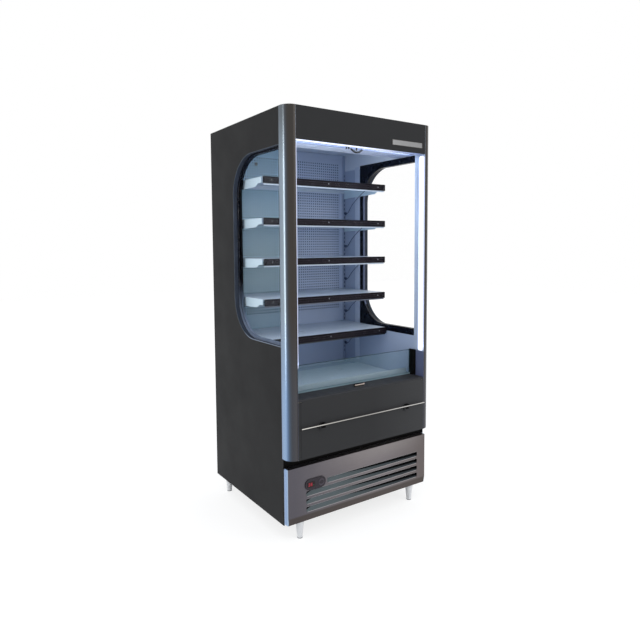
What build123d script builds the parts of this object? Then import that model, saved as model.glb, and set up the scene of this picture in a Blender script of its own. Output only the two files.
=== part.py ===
"""Open multideck display fridge: every piece as its own solid, in millimetres.

X is to the right and Z up from the floor. The pieces are laid out with y measured back from
the front faces of the corner posts, and all are moved at the end so that the origin lies
on the floor under the middle of the whole fridge.
"""
from build123d import *
import math
import os

# ---------------------------------------------------------------- driving dimensions
width = 889.0                # over the two side panels
depth = 800.0                # front faces of the corner posts to the rear panel
height = 2001.0              # floor to top panel
leg_height = 87.0            # floor to the underside of the base pan
side_wall = 50.5             # outer skin to inner liner, and the posts' width
top_wall = 62.0
rear_wall = 62.0
floor_wall = 40.0            # insulated floor of the cooling well
skin = 1.5                   # sheet of the panels and liners
sheet_gap = 0.5              # left between sheets and what they cover

# lower section
grille_height = 268.0
recess_height = 44.0
grille_y = 27.0              # grille panel's front face behind the posts
grille_inset = 8.5           # its sides inside the side panels' outer faces
grille_return = 52.0         # depth of its side returns
grille_bend_height = 35.0    # its foot is bent back a little
grille_bend_depth = 6.0
side_foot_y = 54.0           # front edge of the side panels below the posts
grille_corner = 6.0          # rounding of the grille panel's upright corners
grille_hem_y = 50.0          # hem that closes the gap beside the returns
recess_y = 64.0              # dark channel between grille panel and upper cabinet
slot_count = 4
slot_pitch_z = 38.0
slot_height = 24.0
slot_round = 7.0
slot_top_drop = 86.0         # top of the grille panel to the top of its first slot
slot_left_inset = 107.5      # from the side panels' outer faces to the slots' ends
slot_right_inset = 68.5
slot_control_gap = 11.0      # the first slot stops beside the controller
blade_tilt = 40.0            # degrees, rising towards the back
blade_depth = 21.0

# controller in the grille panel
control_inset = 158.5        # its middle from the left outer face
control_z = 263.0
control_width = 116.0
control_height = 54.0
control_proud = 4.0
key_ring_radius = 17.0
key_ring_inner = 10.0
key_offset = 33.0            # from the controller's middle to the ring's middle
key_travel = 0.8
key_clearance = 0.4

# corner posts
post_round = 49.0            # radius of the rounded outer corner
post_seam_y = 62.0           # where post and side panel meet
post_inner_y = 74.0          # back edge of the post's inner face
post_wall = 2.5
post_rise = 2.0              # post's foot above the front panel's bottom edge

# header and canopy
header_height = 145.0
canopy_depth = 206.5
canopy_lift = 2.0            # underside of the canopy above the header's bottom edge
lamp_strip_height = 10.0
front_lamp_y = (9.0, 60.0)
rear_lamp_y = (84.0, 104.0)
badge_inset = 22.0           # from the right post
badge_width = 204.0
badge_drop = 94.0
badge_height = 27.0

# night curtain
curtain_y = 71.0
curtain_inset = 20.0         # cloth's edges inside the posts
cloth_thick = 0.6
roller_radius = 16.0
roller_z_drop = 104.0        # below the top panel
journal_radius = 4.0
running_gap = 0.05
bar_inset = 16.0
bar_depth = 14.0
bar_height = 12.0
grip_half = 34.0             # half the grip's width
grip_sag = 15.0
grip_stem = 14.0
peg_x = (-49.0, -62.0)
grip_rod = 2.6

# front below the opening
front_height = 283.0         # front panel and rail together
rail_skin = 3.0
rail_round = 10.0
rail_lip = 12.0
rail_depth = 104.0
riser_height = 135.0         # glass above the rail
riser_y = 95.0
riser_thick = 6.0
riser_end_depth = 41.0
riser_end_width = 10.0
trim_z = 552.0
trim_inset = 9.0
trim_reach = 18.0            # front of the trim rail ahead of the posts
trim_thick = 4.0
trim_height = 8.0
clip_x = 265.0
clip_width = 34.0
clip_z = (529.0, 560.0)
clip_round = 7.0
catch_y = 54.0

# post lamps
post_lamp_thick = 5.5
post_lamp_round = 12.0       # its ends, seen from the side
post_lamp_y = (2.0, 42.0)
post_lamp_low_z = 824.0
post_lamp_drop = 154.0       # its top below the top panel

# side windows
window_rear_y = 533.0
window_low_z = 924.0
window_drop = 167.0          # upper edge below the top panel
window_round = 200.0
jamb_depth = 22.0
seal_width = 10.0
seal_thick = 5.0
pane = 4.0
inner_rear_y = 543.0         # opening in the inner liner
inner_low_z = 898.0
inner_drop = 143.0
pane_overlap = 20.0          # panes and their frame run past the inner opening
frame_clear_inset = 12.0     # clear glass inside the outer opening

# interior
duct_depth = 48.0            # rear liner to the face of the duct panel
standard_width = 15.5
standard_inset = 1.5         # uprights inside the side liners
standard_skin = 2.0
hook_inset = 7.25            # middle of the slots and of the brackets inside the liner
bracket_thick = 2.5
hook_slot_width = 4.0
hook_slot_height = 14.0
shelf_count = 5
shelf_drop = 276.0           # top shelf below the top panel
slots_per_pitch = 8
hook_pitch = 25.2
shelf_depth = 376.0          # duct panel to the front of the pan
low_shelf_extra = 14.0       # the bottom shelf is this much deeper
shelf_rear_gap = 4.0
shelf_lip = 41.0
strip_height = 34.0
strip_thick = 6.0
shelf_lamp_depth = 16.0
shelf_lamp_height = 8.0
strip_inset = 5.0
bracket_setback = 19.0       # bracket's front end behind the pan's front
bracket_front_height = 30.0
bracket_height = 45.0
bracket_rear_height = 52.0
bracket_slope = (33.0, 64.0)  # where its lower edge starts and stops falling
deck_drop = 14.0             # deck below the rail's top
deck_front_y = 130.0
plenum_depth = 130.0         # deck pans' rear edge to the duct panel
deck_lip = 42.0
deck_count = 3
deck_inset = 3.0
plenum_drop = 15.0           # rear plenum cover below the deck

# cooling well
well_front_y = 58.0
coil_inset = 64.0
coil_depth = 210.0
coil_rear_gap = 20.0         # behind the coil to the deck pans' rear edge
coil_height = 150.0
fan_plate_gap = 94.0         # ahead of the evaporator coil
fan_hub_gap = 18.0           # plate to the middle of the hub
fan_motor_gap = 40.0
fan_motor_radius = 24.0
fan_motor_length = 44.0
condenser_fan_gap = 42.0
evap_fan_inset = 140.0       # from the coil's end to the fan's middle
evap_fan_radius = 78.0
blade_count = 5
fan_clearance = 4.0
hub_radius = 22.0
shaft_radius = 4.0

# machine compartment
pan_thick = 3.0
pan_flange = 30.0
condenser_inset = 114.5      # its right end from the right outer face
condenser_length = 480.0
condenser_front_y = 112.0
condenser_depth = 56.0
condenser_height = 230.0
condenser_fan_radius = 104.0
compressor_x = -210.0
compressor_rear_gap = 240.0  # its middle from the rear panel
compressor_lift = 18.0
compressor_radius = 78.0
compressor_height = 190.0
pipe_radius = 5.0
pipe_inset = 49.0            # pipe's middle inside the side liner
pipe_rear_gap = 50.0         # and ahead of the duct panel
pipe_spacing = 40.0
drain_x = 0.0
drain_radius = 12.0
drain_pan_size = (290.0, 180.0, 60.0)
drain_pan_offset = 70.0      # its left wall from the tube's middle
drain_height = 70.0          # tube's mouth above the base pan
pipe_rise = 30.0
suction_height = 60.0        # where the pipes reach the coil above the well's floor
liquid_height = 90.0
lead_radius = 1.8
lead_run = ((78.0, 0.0), (138.0, 6.0), (188.0, 24.0), (258.0, 66.0), (318.0, 104.0))
lead_radii = (40, 40, 40, 40, 25, 16)
lead_drop = 142.0
socket_size = (14.0, 22.0)
socket_rear_gap = 20.0       # its front ahead of the duct panel
socket_thick = 10.0
box_inset = 64.5             # electrical box from the left outer face
box_size = (90.0, 210.0, 150.0)
box_front_y = 120.0
gland_inset = 144.5          # inlet from the right outer face
gland_height = 60.0
gland_radius = 14.0
gland_flange_radius = 20.0
gland_length = 14.0

# levelling feet
front_foot_inset = (92.5, 63.0)   # from the outer side face, from the posts' front
rear_foot_inset = (41.5, 71.0)    # from the outer side face, from the rear panel
foot_top_radius = 21.0
foot_tip_radius = 12.0
stud_radius = 6.0
stud_length = 26.0

# ---------------------------------------------------------------- worked-out places
half = width / 2
inner_x = half - side_wall
grille_half = half - grille_inset
slot_left = slot_left_inset - half
slot_right = half - slot_right_inset
control_x = control_inset - half
slot_left_short = control_x + control_width / 2 + slot_control_gap
badge_x = (inner_x - badge_inset - badge_width, inner_x - badge_inset)
curtain_half = inner_x - curtain_inset
bar_half = inner_x - bar_inset
trim_half = inner_x - trim_inset
post_lamp_z = (post_lamp_low_z, height - post_lamp_drop)
window_high_z = height - window_drop
inner_high_z = height - inner_drop
standard_x = (inner_x - standard_inset - standard_width, inner_x - standard_inset)
hook_x = inner_x - hook_inset
shelf_top_z = height - shelf_drop
strip_half = inner_x - strip_inset
deck_half = inner_x - deck_inset
coil_x = inner_x - coil_inset
evap_fan_x = coil_x - evap_fan_inset
condenser_x = (half - condenser_inset - condenser_length, half - condenser_inset)
condenser_y = (condenser_front_y, condenser_front_y + condenser_depth)
compressor_y = depth - compressor_rear_gap
pipe_x = inner_x - pipe_inset
front_foot = (half - front_foot_inset[0], front_foot_inset[1])
rear_foot = (half - rear_foot_inset[0], depth - rear_foot_inset[1])
ceiling_z = height - top_wall
rear_liner_y = depth - rear_wall
back_y = rear_liner_y - duct_depth
shelf_front_y = back_y - shelf_depth
deck_rear_y = back_y - plenum_depth
coil_y = (deck_rear_y - coil_rear_gap - coil_depth, deck_rear_y - coil_rear_gap)
fan_plate_y = coil_y[0] - fan_plate_gap
pipe_y = back_y - pipe_rear_gap
pan_z = leg_height + pan_thick
grille_low_z = pan_z
grille_high_z = grille_low_z + grille_height
upper_z = grille_high_z + recess_height
well_z = upper_z + floor_wall
rail_z = upper_z + front_height
header_z = height - header_height
canopy_z = header_z + canopy_lift
deck_z = rail_z - deck_drop
plenum_z = deck_z - plenum_drop
shelf_pitch = slots_per_pitch * hook_pitch
post_z = upper_z + post_rise
roller_y = curtain_y + roller_radius
roller_z = height - roller_z_drop
bar_low_z = canopy_z + 1.0
bar_high_z = bar_low_z + bar_height
glass_x = half - skin - jamb_depth - seal_thick + sheet_gap
middle_y = (depth - trim_reach) / 2
sides = (-1, 1)


# ---------------------------------------------------------------- helpers
def slab(x, y, z):
    """A block between two x, two y and two z values."""
    size = [abs(b - a) for a, b in (x, y, z)]
    middle = [(a + b) / 2 for a, b in (x, y, z)]
    return Pos(*middle) * Box(*size)


def mirrored(shape):
    """The same piece on the other side of the middle plane."""
    return shape.mirror(Plane.YZ)


def drum(radius, length, centre, axis="z"):
    """A cylinder centred at a point, along x, y or z."""
    turn = {"x": Rot(0, 90, 0), "y": Rot(90, 0, 0), "z": Rot(0, 0, 0)}[axis]
    return Pos(*centre) * turn * Cylinder(radius, length)


def rounded_bay(x, y, z, radius):
    """A block whose two rear edges are rounded, as the side windows are."""
    block = slab(x, y, z)
    rear_edges = block.edges().filter_by(Axis.X).group_by(Axis.Y)[-1]
    return fillet(rear_edges, radius)


def side_profile(points, reach):
    """A prism across the cabinet from an outline in y and z."""
    face = Plane.YZ * make_face(Polyline(*points, close=True))
    return Pos(-reach, 0, 0) * extrude(face, 2 * reach, dir=(1, 0, 0))


def group(shapes):
    """Separate solids of one node."""
    return Compound(children=[s for shape in shapes for s in shape.solids()])


def tube_along(points, radii, radius):
    """A round wire or pipe along straight runs joined by arcs."""
    path = FilletPolyline(*points, radius=radii)
    section = Plane(path @ 0, z_dir=path % 0) * Circle(radius)
    return sweep(section, path=path)


# ---------------------------------------------------------------- outer shell
def side_panel():
    """Right outer skin with its window opening and the jamb folded in around it."""
    x_out = half
    x_in = half - skin
    sheet = slab((x_in, x_out), (post_seam_y, depth), (leg_height, height))
    sheet += slab((x_in, x_out), (side_foot_y, post_seam_y), (leg_height, upper_z))
    bay_z = (window_low_z, window_high_z)
    far = half - skin - jamb_depth
    opening = rounded_bay((far - 1, x_out + 1), (0, window_rear_y), bay_z, window_round)
    outer_z = (window_low_z - skin, window_high_z + skin)
    jamb_y = (post_seam_y, window_rear_y + skin)
    jamb = rounded_bay((far, x_in), jamb_y, outer_z, window_round + skin)
    return (sheet + jamb) - opening


def foam():
    """Insulation slabs in the sides, rear, top, floor and front."""
    pieces = []
    x_out = half - skin - sheet_gap
    x_in = inner_x + skin + sheet_gap
    core_low = upper_z + skin + sheet_gap
    core_high = height - skin - sheet_gap
    side_y = (post_inner_y + 1, depth - skin - sheet_gap)
    side = slab((x_in, x_out), side_y, (core_low, core_high))
    cut_z = (window_low_z - 2 * skin, window_high_z + 2 * skin)
    cut_y = (0, window_rear_y + 2 * skin)
    side -= rounded_bay((x_in - 1, x_out + 1), cut_y, cut_z, window_round + 2 * skin)
    glass_low = inner_low_z - pane_overlap - 1
    glass_high = inner_high_z + pane_overlap + 1
    glass_y = (0, inner_rear_y + pane_overlap + 1)
    side -= slab((x_in - 1, glass_x + 1), glass_y, (glass_low, glass_high))
    pieces += [side, mirrored(side)]
    rear_y = (rear_liner_y + sheet_gap, depth - skin - sheet_gap)
    across = (-x_in + sheet_gap, x_in - sheet_gap)
    pieces.append(slab(across, rear_y, (core_low, core_high)))
    top_y = (post_inner_y + 1, rear_liner_y)
    pieces.append(slab(across, top_y, (ceiling_z + sheet_gap, core_high)))
    floor = slab(across, top_y, (core_low, well_z - skin - sheet_gap))
    for x, y, radius in floor_holes():
        floor -= drum(radius + 2, 3 * floor_wall, (x, y, upper_z))
    pieces.append(floor)
    front_y = (skin + sheet_gap, well_front_y - skin - sheet_gap)
    front_x = (-inner_x + sheet_gap, inner_x - sheet_gap)
    front_z = (core_low, rail_z - rail_skin - sheet_gap)
    front = slab(front_x, front_y, front_z)
    front -= slab(front_x, (0, rail_round), (rail_z - rail_lip - sheet_gap, rail_z))
    pieces.append(front)
    return group(pieces)


def rear_panel():
    """Rear skin with a row of vent slots for the machine compartment."""
    x = half - skin - sheet_gap
    sheet = slab((-x, x), (depth - skin, depth), (leg_height, height - skin))
    for row in range(5):
        for side in sides:
            z = leg_height + 110 + 30 * row
            x_mid = side * half / 2
            sheet -= slab((x_mid - 120, x_mid + 120), (depth - 10, depth + 1), (z, z + 10))
    return sheet


def top_panel():
    """Top skin, with a tongue that runs forward between the posts."""
    z = (height - skin, height)
    x_side = half - skin
    sheet = slab((-x_side, x_side), (post_seam_y, depth), z)
    tongue_x = inner_x - sheet_gap
    return sheet + slab((-tongue_x, tongue_x), (skin, post_seam_y), z)


def corner_posts():
    """Two aluminium posts with a rounded outer corner, hollow from the top."""
    outline = slab((inner_x, half), (0, post_seam_y), (post_z, height))
    corner = outline.edges().filter_by(Axis.Z).sort_by(Axis.X)[-2:].sort_by(Axis.Y)[0]
    post = fillet([corner], post_round)
    flange_z = (post_z, height - skin - sheet_gap)
    post += slab((inner_x, inner_x + skin), (post_seam_y, post_inner_y), flange_z)
    hollow_x = (inner_x + post_wall, half - post_wall)
    hollow_y = (post_wall, post_seam_y - post_wall)
    hollow = slab(hollow_x, hollow_y, (post_z + post_wall, height + 1))
    edge = hollow.edges().filter_by(Axis.Z).sort_by(Axis.X)[-2:].sort_by(Axis.Y)[0]
    post -= fillet([edge], side_wall - 2 * post_wall - 1)
    return group([post, mirrored(post)])


# ---------------------------------------------------------------- side windows
def window_panes():
    """Outer and inner pane of both sealed windows."""
    pieces = []
    y = (post_inner_y - 8, inner_rear_y + pane_overlap)
    z = (inner_low_z - pane_overlap, inner_high_z + pane_overlap)
    inner_face = inner_x + skin + sheet_gap
    for x in ((glass_x - pane, glass_x), (inner_face, inner_face + pane)):
        sheet = slab(x, y, z)
        pieces += [sheet, mirrored(sheet)]
    return group(pieces)


def window_frames():
    """Black frame between the panes, and the seal that fills the jamb."""
    y = (post_inner_y - 8, inner_rear_y + pane_overlap)
    z = (inner_low_z - pane_overlap, inner_high_z + pane_overlap)
    x = (inner_x + skin + sheet_gap + pane, glass_x - pane)
    clear_z = (window_low_z + seal_width, window_high_z - seal_width)
    clear_y = (post_inner_y + 2, window_rear_y - frame_clear_inset)
    clear_round = window_round - frame_clear_inset
    frame = slab(x, y, z) - rounded_bay((x[0] - 1, x[1] + 1), clear_y, clear_z, clear_round)
    seal_x = (glass_x, glass_x + seal_thick - sheet_gap)
    seal_y = (post_inner_y - 8, window_rear_y - 0.2)
    seal_z = (window_low_z + 0.2, window_high_z - 0.2)
    seal = rounded_bay(seal_x, seal_y, seal_z, window_round - 0.2)
    hole_y = (0, window_rear_y - seal_width)
    hole_x = (seal_x[0] - 1, seal_x[1] + 1)
    seal -= rounded_bay(hole_x, hole_y, clear_z, window_round - seal_width)
    return group([frame, mirrored(frame), seal, mirrored(seal)])


# ---------------------------------------------------------------- interior sheets
def interior_liners():
    """Side liners with the window opening, rear liner and ceiling."""
    side_y = (post_inner_y + sheet_gap, rear_liner_y)
    side = slab((inner_x, inner_x + skin), side_y, (well_z, ceiling_z))
    hole_z = (inner_low_z, inner_high_z)
    side -= slab((inner_x - 1, inner_x + skin + 1), (0, inner_rear_y), hole_z)
    rear_y = (rear_liner_y - skin, rear_liner_y)
    rear = slab((-inner_x, inner_x), rear_y, (well_z, ceiling_z - skin))
    top_y = (canopy_depth, rear_liner_y)
    ceiling = slab((-inner_x, inner_x), top_y, (ceiling_z - skin, ceiling_z))
    return group([side, mirrored(side), rear, ceiling])


def duct_panel():
    """White panel in front of the rear duct, and the plenum cover at its foot."""
    x = standard_x[0] - 1
    low_z = plenum_z
    back = slab((-x, x), (back_y, back_y + skin), (low_z, ceiling_z - 2 * skin))
    cover_y = (deck_rear_y + 1, back_y)
    cover = slab((-inner_x + 1, inner_x - 1), cover_y, (plenum_z - skin, plenum_z))
    lip_y = (deck_rear_y + 1, deck_rear_y + 1 + skin)
    cover += slab((-inner_x + 1, inner_x - 1), lip_y, (plenum_z, deck_z - skin))
    return group([back, cover])


def shelf_standards():
    """Two slotted uprights that carry the shelves, screwed to the rear liner."""
    z = (plenum_z, ceiling_z - 2 * skin)
    y = (back_y - standard_skin, rear_liner_y - skin)
    bar = slab(standard_x, y, z)
    hollow_x = (standard_x[0] + standard_skin, standard_x[1] - standard_skin)
    bar -= slab(hollow_x, (back_y, rear_liner_y), (z[0] - 1, z[1] + 1))
    slot_x = (hook_x - hook_slot_width / 2, hook_x + hook_slot_width / 2)
    first = shelf_top_z + 5 * hook_pitch
    count = int((first - deck_z - 2 * hook_pitch) / hook_pitch)
    cutters = []
    for row in range(count):
        top = first - row * hook_pitch
        cutters.append(slab(slot_x, (y[0] - 1, back_y + 1), (top - hook_slot_height, top)))
    bar -= cutters
    return group([bar, mirrored(bar)])


def deck_pans():
    """Lift-out pans that floor the display space."""
    pieces = []
    pitch = 2 * deck_half / deck_count
    for index in range(deck_count):
        x = (-deck_half + index * pitch + 0.5, -deck_half + (index + 1) * pitch - 0.5)
        pan = slab(x, (deck_front_y, deck_rear_y), (deck_z - skin, deck_z))
        pan += slab(x, (deck_front_y, deck_front_y + skin), (deck_z, deck_z + deck_lip))
        pan += slab(x, (deck_rear_y - skin, deck_rear_y), (plenum_z, deck_z))
        pieces.append(pan)
    return group(pieces)


def return_air_grille():
    """Slotted strip between the glass riser and the deck pans."""
    y = (rail_depth + sheet_gap, deck_front_y - sheet_gap)
    z = (deck_z - skin, deck_z)
    strip = slab((-deck_half, deck_half), y, z)
    leg_y = (y[0], y[0] + skin)
    strip += slab((-deck_half, deck_half), leg_y, (deck_z, rail_z - rail_skin))
    cutters = []
    count = 30
    pitch = 2 * deck_half / count
    for index in range(count):
        x = -deck_half + (index + 0.5) * pitch
        slot_y = (y[0] + 5, y[1] - 5)
        cutters.append(slab((x - pitch * 0.35, x + pitch * 0.35), slot_y, (z[0] - 1, z[1] + 1)))
    return strip - cutters


def well_liner():
    """Floor and front wall of the cooling well, and its underside sheet."""
    x = inner_x
    floor = slab((-x, x), (well_front_y, rear_liner_y - skin), (well_z - skin, well_z))
    wall_z = (well_z, deck_z - skin)
    wall = slab((-x, x), (well_front_y - skin, well_front_y), (well_z - skin, rail_z - rail_skin))
    under_x = half - skin - sheet_gap
    under = slab((-under_x, under_x), (skin, depth - skin), (upper_z, upper_z + skin))
    corner = (post_inner_y + 1, inner_x - sheet_gap)
    for side in sides:
        block_x = (side * corner[1], side * half)
        under -= slab(block_x, (0, corner[0]), (upper_z - 1, upper_z + skin + 1))
    for px, py, radius in floor_holes():
        floor -= drum(radius + 1, 20, (px, py, well_z))
        under -= drum(radius + 1, 20, (px, py, upper_z))
    ledges = []
    for side in sides:
        ledge_x = (side * x, side * (x - 14))
        ledge_y = (deck_front_y, deck_rear_y - 2 * skin)
        ledges.append(slab(ledge_x, ledge_y, (wall_z[1] - skin, wall_z[1])))
        fin_x = (side * x, side * (x - skin))
        ledges[-1] += slab(fin_x, ledge_y, (wall_z[1] - 20, wall_z[1]))
    return group([floor + wall, under] + ledges)


def floor_holes():
    """Where pipes and drain pass the floor: x, y and radius of each."""
    return ((pipe_x, pipe_y, pipe_radius), (pipe_x - pipe_spacing, pipe_y, pipe_radius),
            (drain_x, pipe_y, drain_radius))


# ---------------------------------------------------------------- header and canopy
def header_fascia():
    """Front sheet of the header with folded top and bottom edges."""
    x = inner_x - sheet_gap
    sheet = slab((-x, x), (0, skin), (header_z, height))
    sheet += slab((-x, x), (skin, front_lamp_y[0] - sheet_gap), (header_z, header_z + skin))
    return sheet


def badge_plate():
    """Bare metal plate on the header."""
    z = (height - badge_drop - badge_height, height - badge_drop)
    plate = slab(badge_x, (-1.2, 0), z)
    edges = plate.edges().filter_by(Axis.Y)
    return fillet(edges, 3)


def canopy_frame():
    """Folded end plates and rear wall of the canopy, with the curtain cassette inside."""
    x = inner_x - skin - sheet_gap
    z = (canopy_z, ceiling_z - skin)
    y_front = front_lamp_y[0]
    shell = slab((-x, x), (y_front, canopy_depth), (z[0], z[1] + skin))
    hollow_y = (y_front - 1, canopy_depth - skin)
    shell -= slab((skin - x, x - skin), hollow_y, (z[0] - 1, z[1]))
    for side in sides:
        tab_y = (y_front + 60, canopy_depth - 20)
        shell += slab((side * (x - skin / 2), side * inner_x), tab_y, (z[1] - 30, z[1] - 10))
    ends = x - skin
    wall = 1.5
    box_y = (roller_y - roller_radius - 5, roller_y + roller_radius + 5)
    box_z = (roller_z - roller_radius - 5, z[1])
    cassette = slab((-ends, ends), box_y, box_z)
    inner_y = (box_y[0] + wall, box_y[1] - wall)
    inner_span = bar_half + 4
    cassette -= slab((-inner_span, inner_span), inner_y, (box_z[0] + wall, box_z[1] - wall))
    slot_y = (curtain_y - 3, curtain_y + 3)
    cassette -= slab((-inner_span, inner_span), slot_y, (box_z[0] - 1, box_z[0] + wall + 1))
    for side in sides:
        centre = (side * (inner_span + 2), roller_y, roller_z)
        cassette -= drum(journal_radius + running_gap, 2 * 10, centre, "x")
    return group([shell, cassette])


def canopy_lamp():
    """Two lamp strips in the canopy's underside, either side of the curtain's slot."""
    x = inner_x - 2 * skin - sheet_gap
    z = (canopy_z, canopy_z + lamp_strip_height)
    return group([slab((-x, x), front_lamp_y, z), slab((-x, x), rear_lamp_y, z)])


def discharge_grille():
    """Slotted outlet of the air curtain."""
    x = inner_x - 2 * skin - sheet_gap
    y = (rear_lamp_y[1], canopy_depth - skin)
    z = (canopy_z, canopy_z + lamp_strip_height)
    frame = slab((-x, x), y, z)
    rows = 5
    pitch = (y[1] - y[0] - 8) / rows
    cutters = []
    for row in range(rows):
        slot_y = (y[0] + 6 + row * pitch, y[0] + 2 + (row + 1) * pitch)
        for block in range(4):
            x_low = -x + 8 + block * (2 * x - 8) / 4
            cutters.append(slab((x_low, x_low + (2 * x - 8) / 4 - 8), slot_y, (z[0] - 1, z[1] + 1)))
    return frame - cutters


# ---------------------------------------------------------------- night curtain
def curtain_roller():
    """Spring roller with the cloth wound on it, and its two journals."""
    roller = drum(roller_radius, 2 * curtain_half, (0, roller_y, roller_z), "x")
    return roller + drum(journal_radius, 2 * (bar_half + 9), (0, roller_y, roller_z), "x")


def curtain_cloth():
    """The stretch of cloth between roller and pull bar, as it hangs when put away."""
    y_back = curtain_y - running_gap
    return slab((-curtain_half, curtain_half), (y_back - cloth_thick, y_back), (bar_high_z, roller_z))


def curtain_pull_bar():
    """Flat bar at the curtain's lower edge."""
    y = (curtain_y - bar_depth / 2, curtain_y + bar_depth / 2)
    bar = slab((-bar_half, bar_half), y, (bar_low_z, bar_high_z))
    long_edges = bar.edges().filter_by(Axis.X).group_by(Axis.Z)[0]
    return fillet(long_edges, 3)


def curtain_handle():
    """Half-moon wire grip under the pull bar, with its stem, stud and side pegs."""
    top_z = bar_low_z - 6
    path = ThreePointArc((-grip_half, curtain_y, top_z), (0, curtain_y, top_z - grip_sag),
                         (grip_half, curtain_y, top_z))
    section = Plane(path @ 0, z_dir=path % 0) * Circle(grip_rod)
    grip = sweep(section, path=path)
    for x in (-grip_half, grip_half):
        grip += Pos(x, curtain_y, top_z) * Sphere(grip_rod)
    for x in (peg_x[0], grip_half):
        grip += drum(grip_rod, bar_low_z - top_z + 1, (x, curtain_y, (bar_low_z + top_z - 1) / 2))
    grip += Pos(peg_x[0], curtain_y, top_z) * Sphere(grip_rod)
    link_length = -grip_half - peg_x[0]
    grip += drum(grip_rod, link_length, ((-grip_half + peg_x[0]) / 2, curtain_y, top_z), "x")
    stem = drum(grip_rod, grip_stem, (0, curtain_y, bar_low_z - grip_stem / 2))
    peg = drum(grip_rod, 6, (peg_x[1], curtain_y, bar_low_z - 3))
    return group([grip, fillet(stem.edges().group_by(Axis.Z)[0], 1.5), peg])


def curtain_catch():
    """Hook plate on the rail that holds the lowered curtain's grip."""
    y_front = catch_y - 10
    y_hook = curtain_y - grip_rod - 3
    plate = slab((-31, 31), (y_front, y_hook), (rail_z, rail_z + 2))
    hook = slab((-26, 26), (y_hook - 3, y_hook), (rail_z + 2, rail_z + 9))
    return plate + fillet(hook.edges().filter_by(Axis.Y).group_by(Axis.Z)[-1], 3)


# ---------------------------------------------------------------- front
def front_rail():
    """Dark rail with a deep top ledge, and the channel that holds the riser glass."""
    x = inner_x - sheet_gap
    outline = slab((-x, x), (0, rail_depth), (rail_z - rail_lip, rail_z))
    rail = fillet(outline.edges().filter_by(Axis.X).group_by(Axis.Z)[-1].sort_by(Axis.Y)[:1], rail_round)
    hollow_y = (rail_skin, rail_depth + 1)
    hollow = slab((-x - 1, x + 1), hollow_y, (rail_z - rail_lip - 1, rail_z - rail_skin))
    inner_edge = hollow.edges().filter_by(Axis.X).group_by(Axis.Z)[-1].sort_by(Axis.Y)[:1]
    rail -= fillet(inner_edge, rail_round - rail_skin)
    channel_x = inner_x - riser_end_width - sheet_gap
    channel = slab((-channel_x, channel_x), (riser_y - 2, riser_y + riser_thick + 2), (rail_z, rail_z + 10))
    glass_y = (riser_y, riser_y + riser_thick)
    channel -= slab((-channel_x - 1, channel_x + 1), glass_y, (rail_z + 2, rail_z + 11))
    return group([rail, channel])


def riser_glass():
    """Clear sheet that keeps the cold air and the goods in."""
    x = inner_x - riser_end_width - sheet_gap
    return slab((-x, x), (riser_y, riser_y + riser_thick), (rail_z + 2, rail_z + riser_height))


def riser_ends():
    """Black posts that grip the ends of the riser glass."""
    y = (riser_y + riser_thick - riser_end_depth, riser_y + riser_thick + 2)
    post = slab((inner_x - riser_end_width, inner_x), y, (rail_z, rail_z + riser_height + 3))
    return group([post, mirrored(post)])


def front_panel():
    """Dark panel below the rail, folded at top and bottom, with the trim rail's clips."""
    x = inner_x - sheet_gap
    z_top = rail_z - rail_lip - 1.0
    panel = slab((-x, x), (0, skin), (upper_z + skin, z_top))
    panel += slab((-x, x), (0, skin), (upper_z, upper_z + skin))
    pieces = [panel]
    for side in sides:
        clip_y = (trim_thick - trim_reach, 0)
        x_mid = side * clip_x
        clip = slab((x_mid - clip_width / 2, x_mid + clip_width / 2), clip_y, clip_z)
        pieces.append(fillet(clip.edges().filter_by(Axis.Y), clip_round))
    return group(pieces)


def front_trim_rail():
    """Bright flat rail that stands off the front panel on two clips."""
    y = (-trim_reach, trim_thick - trim_reach)
    z = (trim_z - trim_height / 2, trim_z + trim_height / 2)
    rail = slab((-trim_half, trim_half), y, z)
    return fillet(rail.edges().filter_by(Axis.X), 1.5)


def post_lamps():
    """Flat vertical lamps on the inner faces of the posts."""
    lamp = slab((inner_x - post_lamp_thick, inner_x), post_lamp_y, post_lamp_z)
    lamp = fillet(lamp.edges().filter_by(Axis.X), post_lamp_round)
    lamp = fillet(lamp.faces().sort_by(Axis.X)[0].edges(), 3)
    return group([lamp, mirrored(lamp)])


# ---------------------------------------------------------------- shelves
def shelf_front(index):
    """Front face of the shelf's pan; the bottom shelf reaches further forward."""
    last = index == shelf_count - 1
    return shelf_front_y - (low_shelf_extra if last else 0)


def shelf_z(index):
    """Top face of a shelf, counted from the top one."""
    return shelf_top_z - index * shelf_pitch


def shelf_pan(index):
    """Folded white shelf with a deep front lip and a short rear one."""
    x = hook_x - bracket_thick / 2
    top = shelf_z(index)
    y = (shelf_front(index), back_y - shelf_rear_gap)
    pan = slab((-x, x), y, (top - skin, top))
    pan += slab((-x, x), (y[0], y[0] + skin), (top - shelf_lip, top - skin))
    pan += slab((-x, x), (y[1] - skin, y[1]), (top - shelf_lip / 2, top - skin))
    return pan


def price_strips():
    """Dark holders for price tickets, one along each shelf's front edge."""
    pieces = []
    for index in range(shelf_count):
        front = shelf_front(index)
        top = shelf_z(index)
        y = (front - strip_thick, front)
        strip = slab((-strip_half, strip_half), y, (top - strip_height, top))
        groove_y = (y[0] - 1, y[0] + 1.5)
        for low, high in ((10.5, 13.0), (20.5, 23.0)):
            strip -= slab((-strip_half - 1, strip_half + 1), groove_y, (top - high, top - low))
        pieces.append(strip)
    return group(pieces)


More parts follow.
